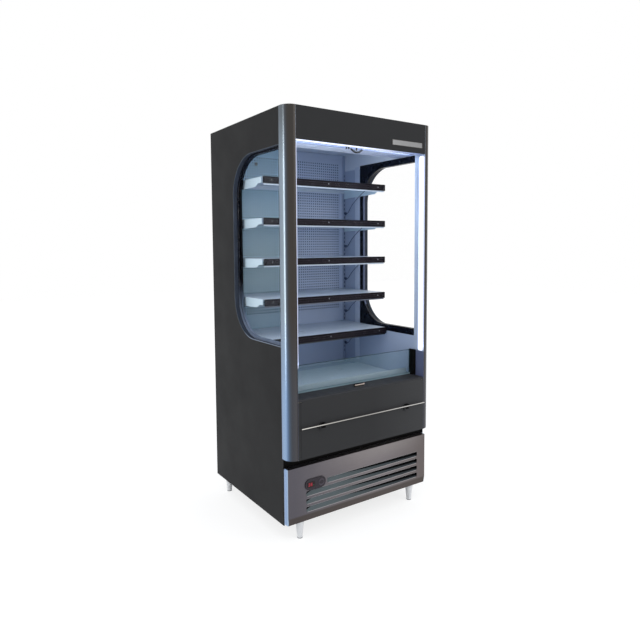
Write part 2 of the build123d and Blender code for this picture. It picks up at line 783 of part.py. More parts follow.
def shelf_brackets():
    """Side brackets that hook into the slotted standards and carry the pans."""
    pieces = []
    for index in range(shelf_count):
        top = shelf_z(index)
        rear = back_y - standard_skin - sheet_gap
        front = shelf_front(index) + bracket_setback
        low = bracket_front_height
        outline = ((front, top - 1), (rear, top - 1), (rear, top - bracket_rear_height),
                   (front + bracket_slope[1], top - bracket_height),
                   (front + bracket_slope[0], top - low), (front, top - low))
        face = Plane.YZ * make_face(Polyline(*outline, close=True))
        plate = Pos(hook_x - bracket_thick / 2, 0, 0) * extrude(face, bracket_thick, dir=(1, 0, 0))
        ledge_x = (hook_x - bracket_thick / 2 - 10, hook_x - bracket_thick / 2)
        ledge_z = (top - skin - 2, top - skin)
        ledge_y = (front + 20, rear - shelf_rear_gap)
        plate += slab(ledge_x, ledge_y, ledge_z)
        for slot in (0, 1):
            z_top = top - slot * hook_pitch - 2
            tab_y = (rear, back_y + 4)
            tab_x = (hook_x - bracket_thick / 2, hook_x + bracket_thick / 2)
            plate += slab(tab_x, tab_y, (z_top - hook_slot_height + 4, z_top))
        pieces += [plate, mirrored(plate)]
    return group(pieces)


def shelf_lamps():
    """Slim lamp behind the front lip of each shelf."""
    pieces = []
    x = hook_x - bracket_thick / 2 - 14
    for index in range(shelf_count):
        y_low = shelf_front(index) + skin
        z_high = shelf_z(index) - skin
        lamp_z = (z_high - shelf_lamp_height, z_high)
        pieces.append(slab((-x, x), (y_low, y_low + shelf_lamp_depth), lamp_z))
    return group(pieces)


def shelf_lamp_leads():
    """Lead from each shelf lamp along the right bracket to its socket on the liner."""
    pieces = []
    lead_x = hook_x - bracket_thick / 2 - 12 - lead_radius
    for index in range(shelf_count):
        top = shelf_z(index)
        run_z = top - skin - 4
        start_y = shelf_front(index) + skin + shelf_lamp_depth
        socket_y = (back_y - socket_rear_gap, back_y - socket_rear_gap + socket_size[0])
        socket_z = (top - lead_drop - socket_size[1] / 2, top - lead_drop + socket_size[1] / 2)
        end_x = inner_x - socket_thick / 2
        route = [(lead_x, start_y, run_z)]
        route += [(lead_x, shelf_front_y + y, run_z - drop) for y, drop in lead_run[:-1]]
        y, drop = lead_run[-1]
        route.append(((lead_x + end_x) / 2, shelf_front_y + y, run_z - drop))
        route.append((end_x, socket_y[0] - 16, top - lead_drop))
        route.append((end_x, socket_y[0], top - lead_drop))
        lead = tube_along(route, lead_radii, lead_radius)
        plug = slab((inner_x - socket_thick, inner_x), socket_y, socket_z)
        pieces += [lead, fillet(plug.edges().filter_by(Axis.X), 3)]
    return group(pieces)


# ---------------------------------------------------------------- lower front
def slot_rows():
    """Each grille slot as its x range and z range."""
    rows = []
    for row in range(slot_count):
        top = grille_high_z - slot_top_drop - row * slot_pitch_z
        left = slot_left_short if row == 0 else slot_left
        rows.append(((left, slot_right), (top - slot_height, top)))
    return rows


def grille_panel():
    """Brushed steel panel with side returns, a sloped foot and four air slots."""
    y = (grille_y, grille_y + skin)
    back = grille_y + grille_return
    bend_z = grille_low_z + grille_bend_height
    foot_y = grille_y + grille_bend_depth
    outer = ((grille_y, grille_high_z), (grille_y, bend_z), (foot_y, grille_low_z),
             (back, grille_low_z), (back, grille_high_z))
    low, high = grille_low_z + skin, grille_high_z - skin
    inner = ((y[1], high), (y[1], bend_z), (foot_y + skin, low), (back + 1, low), (back + 1, high))
    block = side_profile(outer, grille_half)
    front = block.edges().filter_by(lambda edge: abs(edge.center().X) > grille_half - 0.1
                                    and edge.center().Y < foot_y + 0.5)
    core = side_profile(inner, grille_half - skin)
    core_front = core.edges().filter_by(lambda edge: abs(edge.center().X) > grille_half - skin - 0.1
                                        and edge.center().Y < foot_y + skin + 0.5)
    panel = fillet(front, grille_corner) - fillet(core_front, grille_corner - skin)
    for side in sides:
        hem_x = (side * (grille_half - 0.5), side * (half - skin - sheet_gap))
        panel += slab(hem_x, (grille_hem_y, grille_hem_y + skin), (grille_low_z, grille_high_z))
    span = (skin - grille_half, grille_half - skin)
    panel -= slab(span, (foot_y + skin + 12, back + 1), (grille_low_z - 1, low + 1))
    panel -= slab(span, (recess_y - sheet_gap, back + 1), (high - 1, grille_high_z + 1))
    for x, z in slot_rows():
        cutter = slab(x, (y[0] - 1, y[1] + 1), z)
        panel -= fillet(cutter.edges().filter_by(Axis.Y), slot_round)
    hole_x = (control_x - control_width / 2 + 6, control_x + control_width / 2 - 6)
    hole_z = (control_z - control_height / 2 + 6, control_z + control_height / 2 - 6)
    hole = slab(hole_x, (y[0] - 1, y[1] + 1), hole_z)
    return panel - fillet(hole.edges().filter_by(Axis.Y), control_height / 2 - 7)


def grille_blades():
    """Sloped louvre blades behind the slots, joined by an upright at each end."""
    pieces = []
    y = grille_y + skin
    tilt = math.radians(blade_tilt)
    y_mid = y + 0.3 + (blade_depth * math.cos(tilt) + skin * math.sin(tilt)) / 2
    rise = blade_depth * math.sin(tilt) / 2
    for x, z in slot_rows():
        x_low, x_high = x[0] - 6, x[1] + 6
        blade = Box(x_high - x_low, blade_depth, skin)
        middle = ((x_low + x_high) / 2, y_mid, z[0] + rise)
        pieces.append(Pos(*middle) * Rot(blade_tilt, 0, 0) * blade)
    rows = slot_rows()
    z_span = (rows[-1][1][0] - 8, rows[0][1][1] + 8)
    for x_low in (slot_left - 6 - skin, slot_right + 6):
        pieces.append(slab((x_low, x_low + skin), (y, y + 30), z_span))
    short_x = slot_left_short - 6 - skin
    short_z = (rows[0][1][0] - 3, rows[0][1][1] + 8)
    pieces.append(slab((short_x, short_x + skin), (y, y + 30), short_z))
    return group(pieces)


def controller_housing():
    """Oval thermostat body with a window for the digits and a round key field."""
    y = (grille_y - control_proud, grille_y)
    x = (control_x - control_width / 2, control_x + control_width / 2)
    z = (control_z - control_height / 2, control_z + control_height / 2)
    face = fillet(slab(x, y, z).edges().filter_by(Axis.Y), control_height / 2 - 1)
    body = slab((x[0] + 8, x[1] - 8), (grille_y, grille_y + 40), (z[0] + 8, z[1] - 8))
    body = fillet(body.edges().filter_by(Axis.Y), control_height / 2 - 9)
    face += body
    centre = (control_x + key_offset, grille_y - control_proud, control_z)
    ring = drum(key_ring_radius + key_clearance, 2 * 5, centre, "y")
    ring -= drum(key_ring_inner - key_clearance, 2 * 5, centre, "y")
    return face - ring


def key_half(side):
    """Half-ring key: the upper one raises the value, the lower one lowers it."""
    travel_room = key_travel + 0.2
    y = (grille_y - control_proud - 1.0, grille_y - control_proud + 5 - travel_room)
    length = y[1] - y[0]
    centre = (control_x + key_offset, (y[0] + y[1]) / 2, control_z)
    ring = drum(key_ring_radius, length, centre, "y") - drum(key_ring_inner, length + 2, centre, "y")
    far = control_z + side * 2 * key_ring_radius
    near = control_z + side * 1.0
    x = (centre[0] - 2 * key_ring_radius, centre[0] + 2 * key_ring_radius)
    return ring & slab(x, (y[0] - 1, y[1] + 1), (near, far))


# ---------------------------------------------------------------- base and feet
def foot_places():
    """Centre of each foot."""
    return {"front_left": (-front_foot[0], front_foot[1]), "front_right": front_foot,
            "rear_left": (-rear_foot[0], rear_foot[1]), "rear_right": rear_foot}


def base_frame():
    """Base pan with folded edges, leg bosses, uprights and the dark recess channel."""
    x = half - skin - sheet_gap
    y = (grille_y + grille_return + 1, depth - skin - sheet_gap)
    pan = slab((-x, x), (side_foot_y + 1, y[1]), (leg_height, pan_z))
    pan += slab((-grille_half + 3, grille_half - 3), (45, side_foot_y + 1), (leg_height, pan_z))
    pan += slab((-x, x), (y[1] - pan_thick, y[1]), (pan_z, pan_z + pan_flange))
    for side in sides:
        edge = (side * (x - pan_thick), side * x)
        pan += slab(edge, (y[0], y[1]), (pan_z, pan_z + pan_flange))
        upright = slab(edge, (y[0], y[0] + 30), (pan_z, upper_z))
        rear_post = slab(edge, (y[1] - 30, y[1]), (pan_z, upper_z))
        pan += upright + rear_post
    for place in foot_places().values():
        pan += drum(13, 25, (place[0], place[1], pan_z + 12.5))
    for place in foot_places().values():
        pan -= drum(stud_radius + running_gap, 120, (place[0], place[1], leg_height))
    front_z = (grille_high_z + sheet_gap, upper_z)
    pan += slab((-x, x), (recess_y, recess_y + skin), front_z)
    for side in sides:
        pan += slab((side * (x - pan_thick), side * x), (recess_y, y[0]), front_z)
    return pan


def foot(place):
    """Tapered levelling foot with its threaded stud."""
    cone = Pos(place[0], place[1], (leg_height - running_gap) / 2) * Cone(
        foot_tip_radius, foot_top_radius, leg_height - running_gap)
    stud_top = leg_height + stud_length
    stud = drum(stud_radius, stud_length + 10, (place[0], place[1], stud_top - (stud_length + 10) / 2))
    return cone + stud


# ---------------------------------------------------------------- refrigeration
def compressor():
    """Hermetic compressor shell on its mounting foot."""
    low = pan_z + compressor_lift
    centre_z = low + compressor_height / 2
    shell = drum(compressor_radius, compressor_height, (compressor_x, compressor_y, centre_z))
    shell = fillet(shell.edges().filter_by(GeomType.CIRCLE), 30)
    feet_x = compressor_radius + 25
    plate = slab((compressor_x - feet_x, compressor_x + feet_x),
                 (compressor_y - 60, compressor_y + 60), (low - 3, low + 2))
    shell += plate
    for dx in (-feet_x + 14, feet_x - 14):
        for dy in (-46, 46):
            centre = (compressor_x + dx, compressor_y + dy, (pan_z + low - 3) / 2)
            shell += drum(9, low - 3 - pan_z, centre)
    box_y = (compressor_y - compressor_radius - 24, compressor_y - compressor_radius + 8)
    shell += slab((compressor_x - 32, compressor_x + 32), box_y, (centre_z - 35, centre_z + 35))
    return shell


def finned_coil(x, y, z, bend):
    """Fin block between end plates, with its return bends at one side."""
    block = slab((x[0] + 22, x[1] - 22), y, z)
    cutters = []
    count = 24
    pitch = (x[1] - x[0] - 44) / count
    for index in range(count):
        x_mid = x[0] + 22 + (index + 0.5) * pitch
        cutters.append(slab((x_mid - 2, x_mid + 2), (y[0] - 1, y[0] + 6), (z[0] + 4, z[1] - 4)))
    block -= cutters
    for x_plate in (x[0] + 20, x[1] - 22):
        block += slab((x_plate, x_plate + 2), (y[0] - 2, y[1] + 2), z)
    rows = int((z[1] - z[0] - 20) / 50)
    for row in range(rows):
        z_mid = z[0] + 30 + row * 50
        for x_end, way in ((x[0] + 20, -1), (x[1] - 20, 1)):
            loop = Pos(x_end, (y[0] + y[1]) / 2, z_mid) * Rot(90, 0, 0) * Torus(12.5, bend)
            outer = (x_end, x_end + way * 20)
            block += loop & slab(outer, y, (z_mid - 20, z_mid + 20))
    return block


def condenser_coil():
    return finned_coil(condenser_x, condenser_y, (pan_z, pan_z + condenser_height), 4.5)


def evaporator_coil():
    return finned_coil((-coil_x, coil_x), coil_y, (well_z, well_z + coil_height), 5)


def fan_blade(x, y, z, radius):
    """Five pitched blades on a hub, turning about y."""
    hub = drum(hub_radius, 26, (x, y, z), "y")
    for index in range(blade_count):
        blade = Pos((hub_radius + radius) / 2 - 4, 0, 0) * Rot(28, 0, 0) * Box(
            radius - hub_radius + 8, 2.5, 34)
        hub += Pos(x, y, z) * Rot(0, index * 360 / blade_count, 0) * blade
    rim = drum(radius, 60, (x, y, z), "y")
    bore = drum(shaft_radius + running_gap, 60, (x, y, z), "y")
    return (hub & rim) - bore


def fan_places():
    """Middle of each fan's hub, and the blades' radius."""
    evap_z = (well_z + deck_z - skin) / 2
    condenser_z = pan_z + condenser_height / 2
    evap_y = fan_plate_y + fan_hub_gap
    place = (sum(condenser_x) / 2, condenser_y[1] + condenser_fan_gap, condenser_z)
    return {"left": (-evap_fan_x, evap_y, evap_z, evap_fan_radius),
            "right": (evap_fan_x, evap_y, evap_z, evap_fan_radius),
            "condenser": (*place, condenser_fan_radius)}


def fan_plates():
    """Plates with round air holes: one across the well, one behind the condenser."""
    places = fan_places()
    well_plate = slab((-inner_x + 16, inner_x - 16), (fan_plate_y, fan_plate_y + skin),
                      (well_z, deck_z - skin))
    for name in ("left", "right"):
        x, _, z, radius = places[name]
        well_plate -= drum(radius + fan_clearance, 20, (x, fan_plate_y, z), "y")
    x, y, z, radius = places["condenser"]
    low = pan_z
    shroud_y = (condenser_y[1] + 2, condenser_y[1] + 4)
    shroud = slab((condenser_x[0] + 20, condenser_x[1] - 20), shroud_y, (low, low + condenser_height))
    shroud -= drum(radius + fan_clearance, 20, (x, shroud_y[0], z), "y")
    return group([well_plate, shroud])


def fan_motors():
    """Motors with their shafts and the brackets that hold them to the fan plates."""
    pieces = []
    places = fan_places()
    for name, plate_y in (("left", fan_plate_y + skin), ("right", fan_plate_y + skin),
                          ("condenser", condenser_y[1] + 4)):
        x, y, z, radius = places[name]
        motor_y = y + fan_motor_gap
        motor = drum(fan_motor_radius, fan_motor_length, (x, motor_y + 6, z), "y")
        motor += drum(shaft_radius, fan_motor_gap + 10, (x, y + 6, z), "y")
        arm = radius + fan_clearance + 6
        for way in sides:
            bar = slab((x - 5, x + 5), (motor_y + 10, motor_y + 13), (z, z + way * arm))
            leg_z = (z + way * (arm - 3), z + way * arm)
            bar += slab((x - 5, x + 5), (plate_y, motor_y + 10), leg_z)
            motor += bar
        pieces.append(motor)
    return group(pieces)


def refrigerant_pipes():
    """Copper lines between compressor, condenser and evaporator."""
    outlet = (compressor_x, compressor_y, pan_z + compressor_height + compressor_lift)
    rise = outlet[2] + pipe_rise
    suction_z = well_z + suction_height
    upper_liquid_z = well_z + liquid_height
    entry_y = coil_y[1] - suction_height
    feed_x = pipe_x - pipe_spacing
    suction = tube_along((outlet, (outlet[0], outlet[1], rise), (feed_x, pipe_y, rise),
                          (feed_x, pipe_y, suction_z), (feed_x, coil_y[1] + 2, suction_z)),
                         (14, 24, 20), pipe_radius)
    liquid_z = pan_z + condenser_height - pipe_rise
    start = (condenser_x[1] - 20, condenser_y[1] - 20, liquid_z)
    liquid = tube_along((start, (pipe_x, start[1], liquid_z), (pipe_x, pipe_y, liquid_z),
                         (pipe_x, pipe_y, upper_liquid_z), (pipe_x, entry_y, upper_liquid_z),
                         (coil_x - 20, entry_y, upper_liquid_z)),
                        (14, 24, 24, 10), pipe_radius)
    return group([suction, liquid])


def condensate_drain():
    """Drain tube from the well and the pan it runs into."""
    tube_z = (pan_z + drain_height, well_z + 2)
    length = tube_z[1] - tube_z[0]
    centre = (drain_x, pipe_y, (tube_z[0] + tube_z[1]) / 2)
    tube = drum(drain_radius, length, centre) - drum(drain_radius - 2, length + 2, centre)
    collar_z = well_z + 1
    tube += drum(drain_radius + 8, 2, (drain_x, pipe_y, collar_z))
    tube -= drum(drain_radius - 2, 20, (drain_x, pipe_y, collar_z))
    pan_x = (drain_x - drain_pan_offset, drain_x - drain_pan_offset + drain_pan_size[0])
    pan_y = (pipe_y - drain_pan_size[1] / 2, pipe_y + drain_pan_size[1] / 2)
    pan_top = pan_z + drain_pan_size[2]
    pan = slab(pan_x, pan_y, (pan_z, pan_top))
    pan -= slab((pan_x[0] + 3, pan_x[1] - 3), (pan_y[0] + 3, pan_y[1] - 3), (pan_z + 3, pan_top + 1))
    return group([tube, pan])


def electrical_box():
    """Box for relays and terminals, and the blank inlet gland on the rear panel."""
    box_x = box_inset - half
    box_y = (box_front_y, box_front_y + box_size[1])
    box = slab((box_x, box_x + box_size[0]), box_y, (pan_z, pan_z + box_size[2]))
    box = fillet(box.edges().filter_by(Axis.Z), 6)
    gland_x = half - gland_inset
    gland_z = pan_z + gland_height
    face_y = depth - skin
    gland = drum(gland_radius, gland_length, (gland_x, face_y - gland_length / 2, gland_z), "y")
    gland += drum(gland_flange_radius, 4, (gland_x, face_y - 2, gland_z), "y")
    return group([box, gland])


# ---------------------------------------------------------------- nodes
nodes = {
    "right_side_panel": side_panel(),
    "left_side_panel": mirrored(side_panel()),
    "foam_insulation": foam(),
    "rear_panel": rear_panel(),
    "top_panel": top_panel(),
    "corner_posts": corner_posts(),
    "window_panes": window_panes(),
    "window_frames": window_frames(),
    "interior_liners": interior_liners(),
    "duct_panel": duct_panel(),
    "shelf_standards": shelf_standards(),
    "deck_pans": deck_pans(),
    "return_air_grille": return_air_grille(),
    "well_liner": well_liner(),
    "header_fascia": header_fascia(),
    "badge_plate": badge_plate(),
    "canopy_frame": canopy_frame(),
    "canopy_lamp": canopy_lamp(),
    "discharge_grille": discharge_grille(),
    "curtain_roller": curtain_roller(),
    "curtain_cloth": curtain_cloth(),
    "curtain_pull_bar": curtain_pull_bar(),
    "curtain_handle": curtain_handle(),
    "curtain_catch": curtain_catch(),
    "front_rail": front_rail(),
    "riser_glass": riser_glass(),
    "riser_ends": riser_ends(),
    "front_panel": front_panel(),
    "front_trim_rail": front_trim_rail(),
    "post_lamps": post_lamps(),
    "price_strips": price_strips(),
    "shelf_brackets": shelf_brackets(),
    "shelf_lamps": shelf_lamps(),
    "shelf_lamp_leads": shelf_lamp_leads(),
    "grille_panel": grille_panel(),
    "grille_blades": grille_blades(),
    "controller_housing": controller_housing(),
    "key_up": key_half(1),
    "key_down": key_half(-1),
    "base_frame": base_frame(),
    "compressor": compressor(),
    "condenser_coil": condenser_coil(),
    "evaporator_coil": evaporator_coil(),
    "fan_plates": fan_plates(),
    "fan_motors": fan_motors(),
    "refrigerant_pipes": refrigerant_pipes(),
    "condensate_drain": condensate_drain(),
    "electrical_box": electrical_box(),
}
for index in range(shelf_count):
    nodes[f"shelf_{index + 1}"] = shelf_pan(index)
for name, place in foot_places().items():
    nodes[f"foot_{name}"] = foot(place)
for name, (x, y, z, radius) in fan_places().items():
    nodes[f"fan_blade_{name}"] = fan_blade(x, y, z, radius)

os.makedirs("parts", exist_ok=True)
for name, shape in nodes.items():
    export_step(Pos(0, -middle_y, 0) * shape, f"parts/{name}.step")
print(len(nodes), "nodes")
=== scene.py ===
"""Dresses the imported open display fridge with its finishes, small pieces, lamps, camera and studio."""
import math

import bmesh
import bpy
from bpy.props import FloatProperty, FloatVectorProperty, PointerProperty
from mathutils import Matrix, Vector


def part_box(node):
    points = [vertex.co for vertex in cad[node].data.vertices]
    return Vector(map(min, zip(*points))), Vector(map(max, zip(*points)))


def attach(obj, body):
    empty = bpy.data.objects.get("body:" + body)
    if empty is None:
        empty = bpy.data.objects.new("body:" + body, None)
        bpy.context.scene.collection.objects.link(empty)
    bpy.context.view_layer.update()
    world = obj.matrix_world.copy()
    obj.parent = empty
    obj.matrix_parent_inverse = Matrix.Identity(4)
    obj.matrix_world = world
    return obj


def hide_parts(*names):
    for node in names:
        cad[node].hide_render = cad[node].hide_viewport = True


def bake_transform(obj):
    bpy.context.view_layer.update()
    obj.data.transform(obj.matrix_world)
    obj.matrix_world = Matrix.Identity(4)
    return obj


bl_info = {
    "name": "Open Display Fridge",
    "version": (1, 0, 0),
    "blender": (4, 5, 0),
    "location": "View3D > Sidebar > Fridge",
    "description": "Finishes, fittings and studio for an open multideck display fridge",
    "category": "Object",
}

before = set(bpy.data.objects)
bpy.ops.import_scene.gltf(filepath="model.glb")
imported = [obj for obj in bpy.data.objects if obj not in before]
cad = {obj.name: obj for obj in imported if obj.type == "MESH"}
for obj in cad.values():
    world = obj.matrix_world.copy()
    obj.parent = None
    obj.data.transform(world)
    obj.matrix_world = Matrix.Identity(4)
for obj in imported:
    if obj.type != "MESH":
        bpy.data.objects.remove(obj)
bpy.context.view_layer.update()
POSTS_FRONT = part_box("corner_posts")[0].y
SIDES = (-1, 1)
WELD_REACH = 1e-6
# Places of packed features that the small pieces follow: metres here.
LOUVRE_PITCH = 0.038
SLOT_TOP = 0.272
FRONT_CLIP_X = 0.265
PERFORATION_REACH = 0.345
GRIP_WIDTH = 0.0098
# The rest is in millimetres, as at() takes it.
GRIP_HALF, GRIP_SAG, GRIP_TOP, GRIP_DEPTH = 34, 15, 1853, 71
GRIP_PEGS = (-49, -62, 0)
WINDOW_Z = (924, 1834)
UPRIGHT_X, UPRIGHT_FOOT, UPRIGHT_PITCH, UPRIGHT_SLOTS = 387, 722, 25.2, 44
BEAD_X, BEAD_TOP = 361, 1704
PROBE_X, PROBE_Z = -226, 1840
POST_CAP_X, POST_CAP_Y = (396, 443), (1.5, 60)
POST_CAP_LEVELS = ((1996.5, 2000.6), (401.6, 403.9))
LEAD_START_X, SOCKET_X, SOCKET_DROP = 371.7, 389, 142
LEAD_RUN = ((78, 0), (138, 6), (188, 24), (258, 66))  # depth past the start of the bend, and drop
LEAD_TURN = (380.35, 318, 104)
LEAD_BEND_Y = 300
GRIP_RADIUS = (GRIP_HALF ** 2 + GRIP_SAG ** 2) / (2 * GRIP_SAG)
GRIP_TURN = math.asin(GRIP_HALF / GRIP_RADIUS)


def at(x, y, z):
    """A place in millimetres from the middle, behind the posts' front and above the floor."""
    return Vector((x / 1000, POSTS_FRONT + y / 1000, z / 1000))


def srgb(red, green, blue):
    """A screen colour, 0 to 255, as the linear values that shaders read."""
    def linear(value):
        value /= 255
        return value / 12.92 if value <= 0.04045 else ((value + 0.055) / 1.055) ** 2.4
    return (linear(red), linear(green), linear(blue))


# ------------------------------------------------------------------ settings
def colour_setting(name, description, value):
    return FloatVectorProperty(name=name, description=description, subtype="COLOR", size=3,
                               min=0.0, max=1.0, default=srgb(*value))


def length_setting(name, description, value):
    return FloatProperty(name=name, description=description, default=value, min=0.0,
                         unit="LENGTH", subtype="DISTANCE", precision=4)


def number_setting(name, description, value):
    return FloatProperty(name=name, description=description, default=value)


class FridgeColours(bpy.types.PropertyGroup):
    """Colours of the main finishes."""
    panel: colour_setting("Header", "Powder coat of the header and top", (49, 49, 50))
    front: colour_setting("Front panel", "Powder coat of the front panel", (56, 56, 57))
    # The side panels share the header's powder coat. Their darker colour is painted shade, which offsets the
    # stronger light they catch from the left.
    side: colour_setting("Side panels", "Powder coat of the side panels", (37, 37, 38))
    # The posts' dark front and pale flank are painted reflections: the front stands for the dark room it mirrors,
    # and the flank for the bright wall at its side.
    post_dark: colour_setting("Post front", "Anodised posts where they face forward", (66, 62, 59))
    post_light: colour_setting("Post flank", "Anodised posts where they turn to the side", (132, 148, 164))
    post_inside: colour_setting("Post inside", "Painted inner faces of the posts", (190, 204, 226))
    # The blue tint of the interior enamels is in part painted light, standing for the bluish light of the lamps.
    enamel: colour_setting("Interior enamel", "Liners, ceiling and duct panel", (176, 190, 215))
    shelf: colour_setting("Shelf enamel", "Shelves, brackets and deck pans", (196, 208, 222))
    steel: colour_setting("Grille steel", "Brushed panel at the foot", (122, 116, 118))
    frame_black: colour_setting("Window frame", "Printed black border of the side windows", (14, 17, 28))
    strip_black: colour_setting("Ticket strip", "Dark strips on the shelves' fronts", (20, 16, 21))
    lamp: colour_setting("Lamp light", "Light of all lamps", (214, 230, 255))
    lamp_face: colour_setting("Lamp face", "Look of the lit diffusers themselves", (236, 241, 255))
    glass_tint: colour_setting("Glass tint", "Sheen of the side windows", (205, 222, 235))


class FridgeSizes(bpy.types.PropertyGroup):
    """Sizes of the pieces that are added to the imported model."""
    hole_pitch: length_setting("Hole pitch", "Spacing of the holes in the rear sheet", 0.015)
    hole_width: length_setting("Hole width", "Width of one hole in the rear sheet", 0.0070)
    sheet_low: length_setting("Perforation foot", "Height where the holes begin", 0.990)
    sheet_high: length_setting("Perforation top", "Height where the holes end", 1.890)
    screw_radius: length_setting("Screw head", "Radius of the small screw heads", 0.0032)
    strip_lip: length_setting("Strip lip", "Thickness of the lips on the ticket strips", 0.0011)
    spacer: length_setting("Window spacer", "Width of the bright spacer round the clear glass", 0.0045)
    jamb_edge: length_setting("Jamb edge", "Width of the rolled edge round each window opening", 0.0026)
    digit_height: length_setting("Digit height", "Height of the controller's digits", 0.0150)
    lead_width: length_setting("Lead", "Diameter of the shelf lamps' leads", 0.0036)


class FridgeStudio(bpy.types.PropertyGroup):
    """Camera, lamps and background."""
    lens: number_setting("Lens", "Camera focal length in millimetres", 31.4967)
    camera_at: FloatVectorProperty(name="Camera", description="Camera position", subtype="XYZ",
                                   unit="LENGTH", size=3, default=(-1.71747, -2.50820, 1.38035))
    camera_turn: FloatVectorProperty(name="Turn", description="Yaw, pitch down and roll",
                                     subtype="EULER", size=3, default=(0.599616, 0.075342, 0.006234))
    shift_y: number_setting("Shift", "Vertical shift of the lens", -0.04867)
    ambient: number_setting("Ambient", "Even light from all round", 0.82)
    canopy_glow: number_setting("Canopy lamps", "Strength of the canopy lamps", 1.15)
    post_glow: number_setting("Post lamps", "Strength of the post lamps", 1.35)
    shelf_glow: number_setting("Shelf lamps", "Strength of the shelf lamps", 0.95)
    canopy_light: number_setting("Canopy light", "Power that the canopy throws in", 1.1)
    post_light: number_setting("Post light", "Power that each post lamp throws in", 0.55)


# ------------------------------------------------------------------ finishes
class Nodes:
    """Adds and links the nodes of one tree."""

    def __init__(self, tree):
        self.tree = tree

    def feed(self, node, inputs):
        """Sets a node's inputs: a socket is linked, and any other value is a constant."""
        for key, value in inputs.items():
            if isinstance(value, bpy.types.NodeSocket):
                self.tree.links.new(value, node.inputs[key])
            else:
                node.inputs[key].default_value = value

    def add(self, kind, inputs, **options):
        node = self.tree.nodes.new("ShaderNode" + kind)
        for key, value in options.items():
            setattr(node, key, value)
        self.feed(node, inputs)
        return node

    def math(self, operation, *values):
        return self.add("Math", dict(enumerate(values)), operation=operation).outputs[0]

    def times(self, first, second):
        return self.math("MULTIPLY", first, second)

    def spread(self, source, low, high, to_low=0.0, to_high=1.0):
        return self.add("MapRange", {"Value": source, "From Min": low, "From Max": high,
                                     "To Min": to_low, "To Max": to_high}).outputs["Result"]


class Finish(Nodes):
    """One procedural material, built up around a Principled shader."""

    def __init__(self, name, colour, rough, metal=0.0, **inputs):
        self.material = bpy.data.materials.new(name)
        self.material.use_nodes = True
        self.material.diffuse_color = self.colour = (*colour, 1)
        super().__init__(self.material.node_tree)
        self.shader = self.tree.nodes["Principled BSDF"]
        self.feed(self.shader, {"Base Color": self.colour, "Roughness": rough, "Metallic": metal})
        self.feed(self.shader, {key.replace("_", " "): value for key, value in inputs.items()})
        self.place = self.add("TexCoord", {}).outputs["Object"]

    def mapped(self, stretch):
        return self.add("Mapping", {"Vector": self.place, "Scale": stretch}).outputs["Vector"]

    def noise(self, scale, detail=3.0, stretch=(1, 1, 1), soft=0.55):
        return self.add("TexNoise", {"Vector": self.mapped(stretch), "Scale": scale, "Detail": detail,
                                     "Roughness": soft}).outputs["Fac"]

    def spots(self, scale):
        return self.add("TexVoronoi", {"Vector": self.mapped((1, 1, 1)), "Scale": scale}).outputs["Distance"]

    def waves(self, scale, direction):
        return self.add("TexWave", {"Vector": self.mapped((1, 1, 1)), "Scale": scale},
                        bands_direction=direction).outputs["Fac"]

    def axis(self, index):
        return self.add("SeparateXYZ", {0: self.place}).outputs[index]

    def along(self, axis, low, high, absolute=False):
        """0 to 1 between two places on one axis."""
        source = self.axis(axis)
        return self.spread(self.math("ABSOLUTE", source) if absolute else source, low, high)

    def behind(self, start, end):
        """0 to 1 between two depths behind the posts' front."""
        return self.along(1, POSTS_FRONT + start, POSTS_FRONT + end)

    def ramp(self, source, stops):
        node = self.add("ValToRGB", {"Fac": source})
        while len(node.color_ramp.elements) < len(stops):
            node.color_ramp.elements.new(0.5)
        for element, (place, colour) in zip(node.color_ramp.elements, stops):
            element.position = place
            element.color = (*colour, 1)
        return node.outputs["Color"]

    def paint(self, colour):
        self.colour = colour
        self.feed(self.shader, {"Base Color": colour})

    def tone(self, mask, other, strength=1.0):
        """Blends another colour over the base where the mask is high."""
        if strength != 1.0:
            mask = self.times(mask, strength)
        if isinstance(other, tuple):
            other = (*other, 1)
        mix = self.add("Mix", {}, data_type="RGBA")
        self.feed(mix, {"Factor": mask, "A": self.colour, "B": other})
        self.paint(mix.outputs["Result"])

    def rough(self, mask, low, high):
        self.feed(self.shader, {"Roughness": self.spread(mask, 0.3, 0.7, low, high)})

    def relief(self, height, depth, strength=1.0):
        bump = self.add("Bump", {"Distance": depth, "Strength": strength, "Height": height})
        self.feed(self.shader, {"Normal": bump.outputs["Normal"]})

    def glow(self, colour, strength):
        self.feed(self.shader, {"Emission Color": (*colour, 1), "Emission Strength": strength})


def settings():
    """The scene's colours, sizes and studio settings."""
    scene = bpy.context.scene
    return scene.fridge_colours, scene.fridge_sizes, scene.fridge_studio


def powder_coat(name, colour, rough=0.45):
    """Satin powder coat with fine orange peel and a trace of dust."""
    made = Finish(name, colour, rough, Specular_IOR_Level=0.06)
    cloud = made.noise(2.2, 4)
    made.tone(made.spread(cloud, 0.45, 0.75), tuple(min(1, c * 1.10 + 0.0008) for c in colour), 0.5)
    made.rough(made.noise(6.0, 5), rough - 0.05, rough + 0.07)
    made.relief(made.noise(950, 2), 0.00012, 0.45)
    return made


def side_coat(colour):
    """Side panels, with painted light making the fold round each window slightly bluer."""
    made = powder_coat("side panel", colour)
    # Painted light: the fold round each window is lit bluer.
    fold_light_mask = made.along(0, 0.4432, 0.4426, absolute=True)
    made.tone(fold_light_mask, srgb(60, 66, 78))
    return made.material


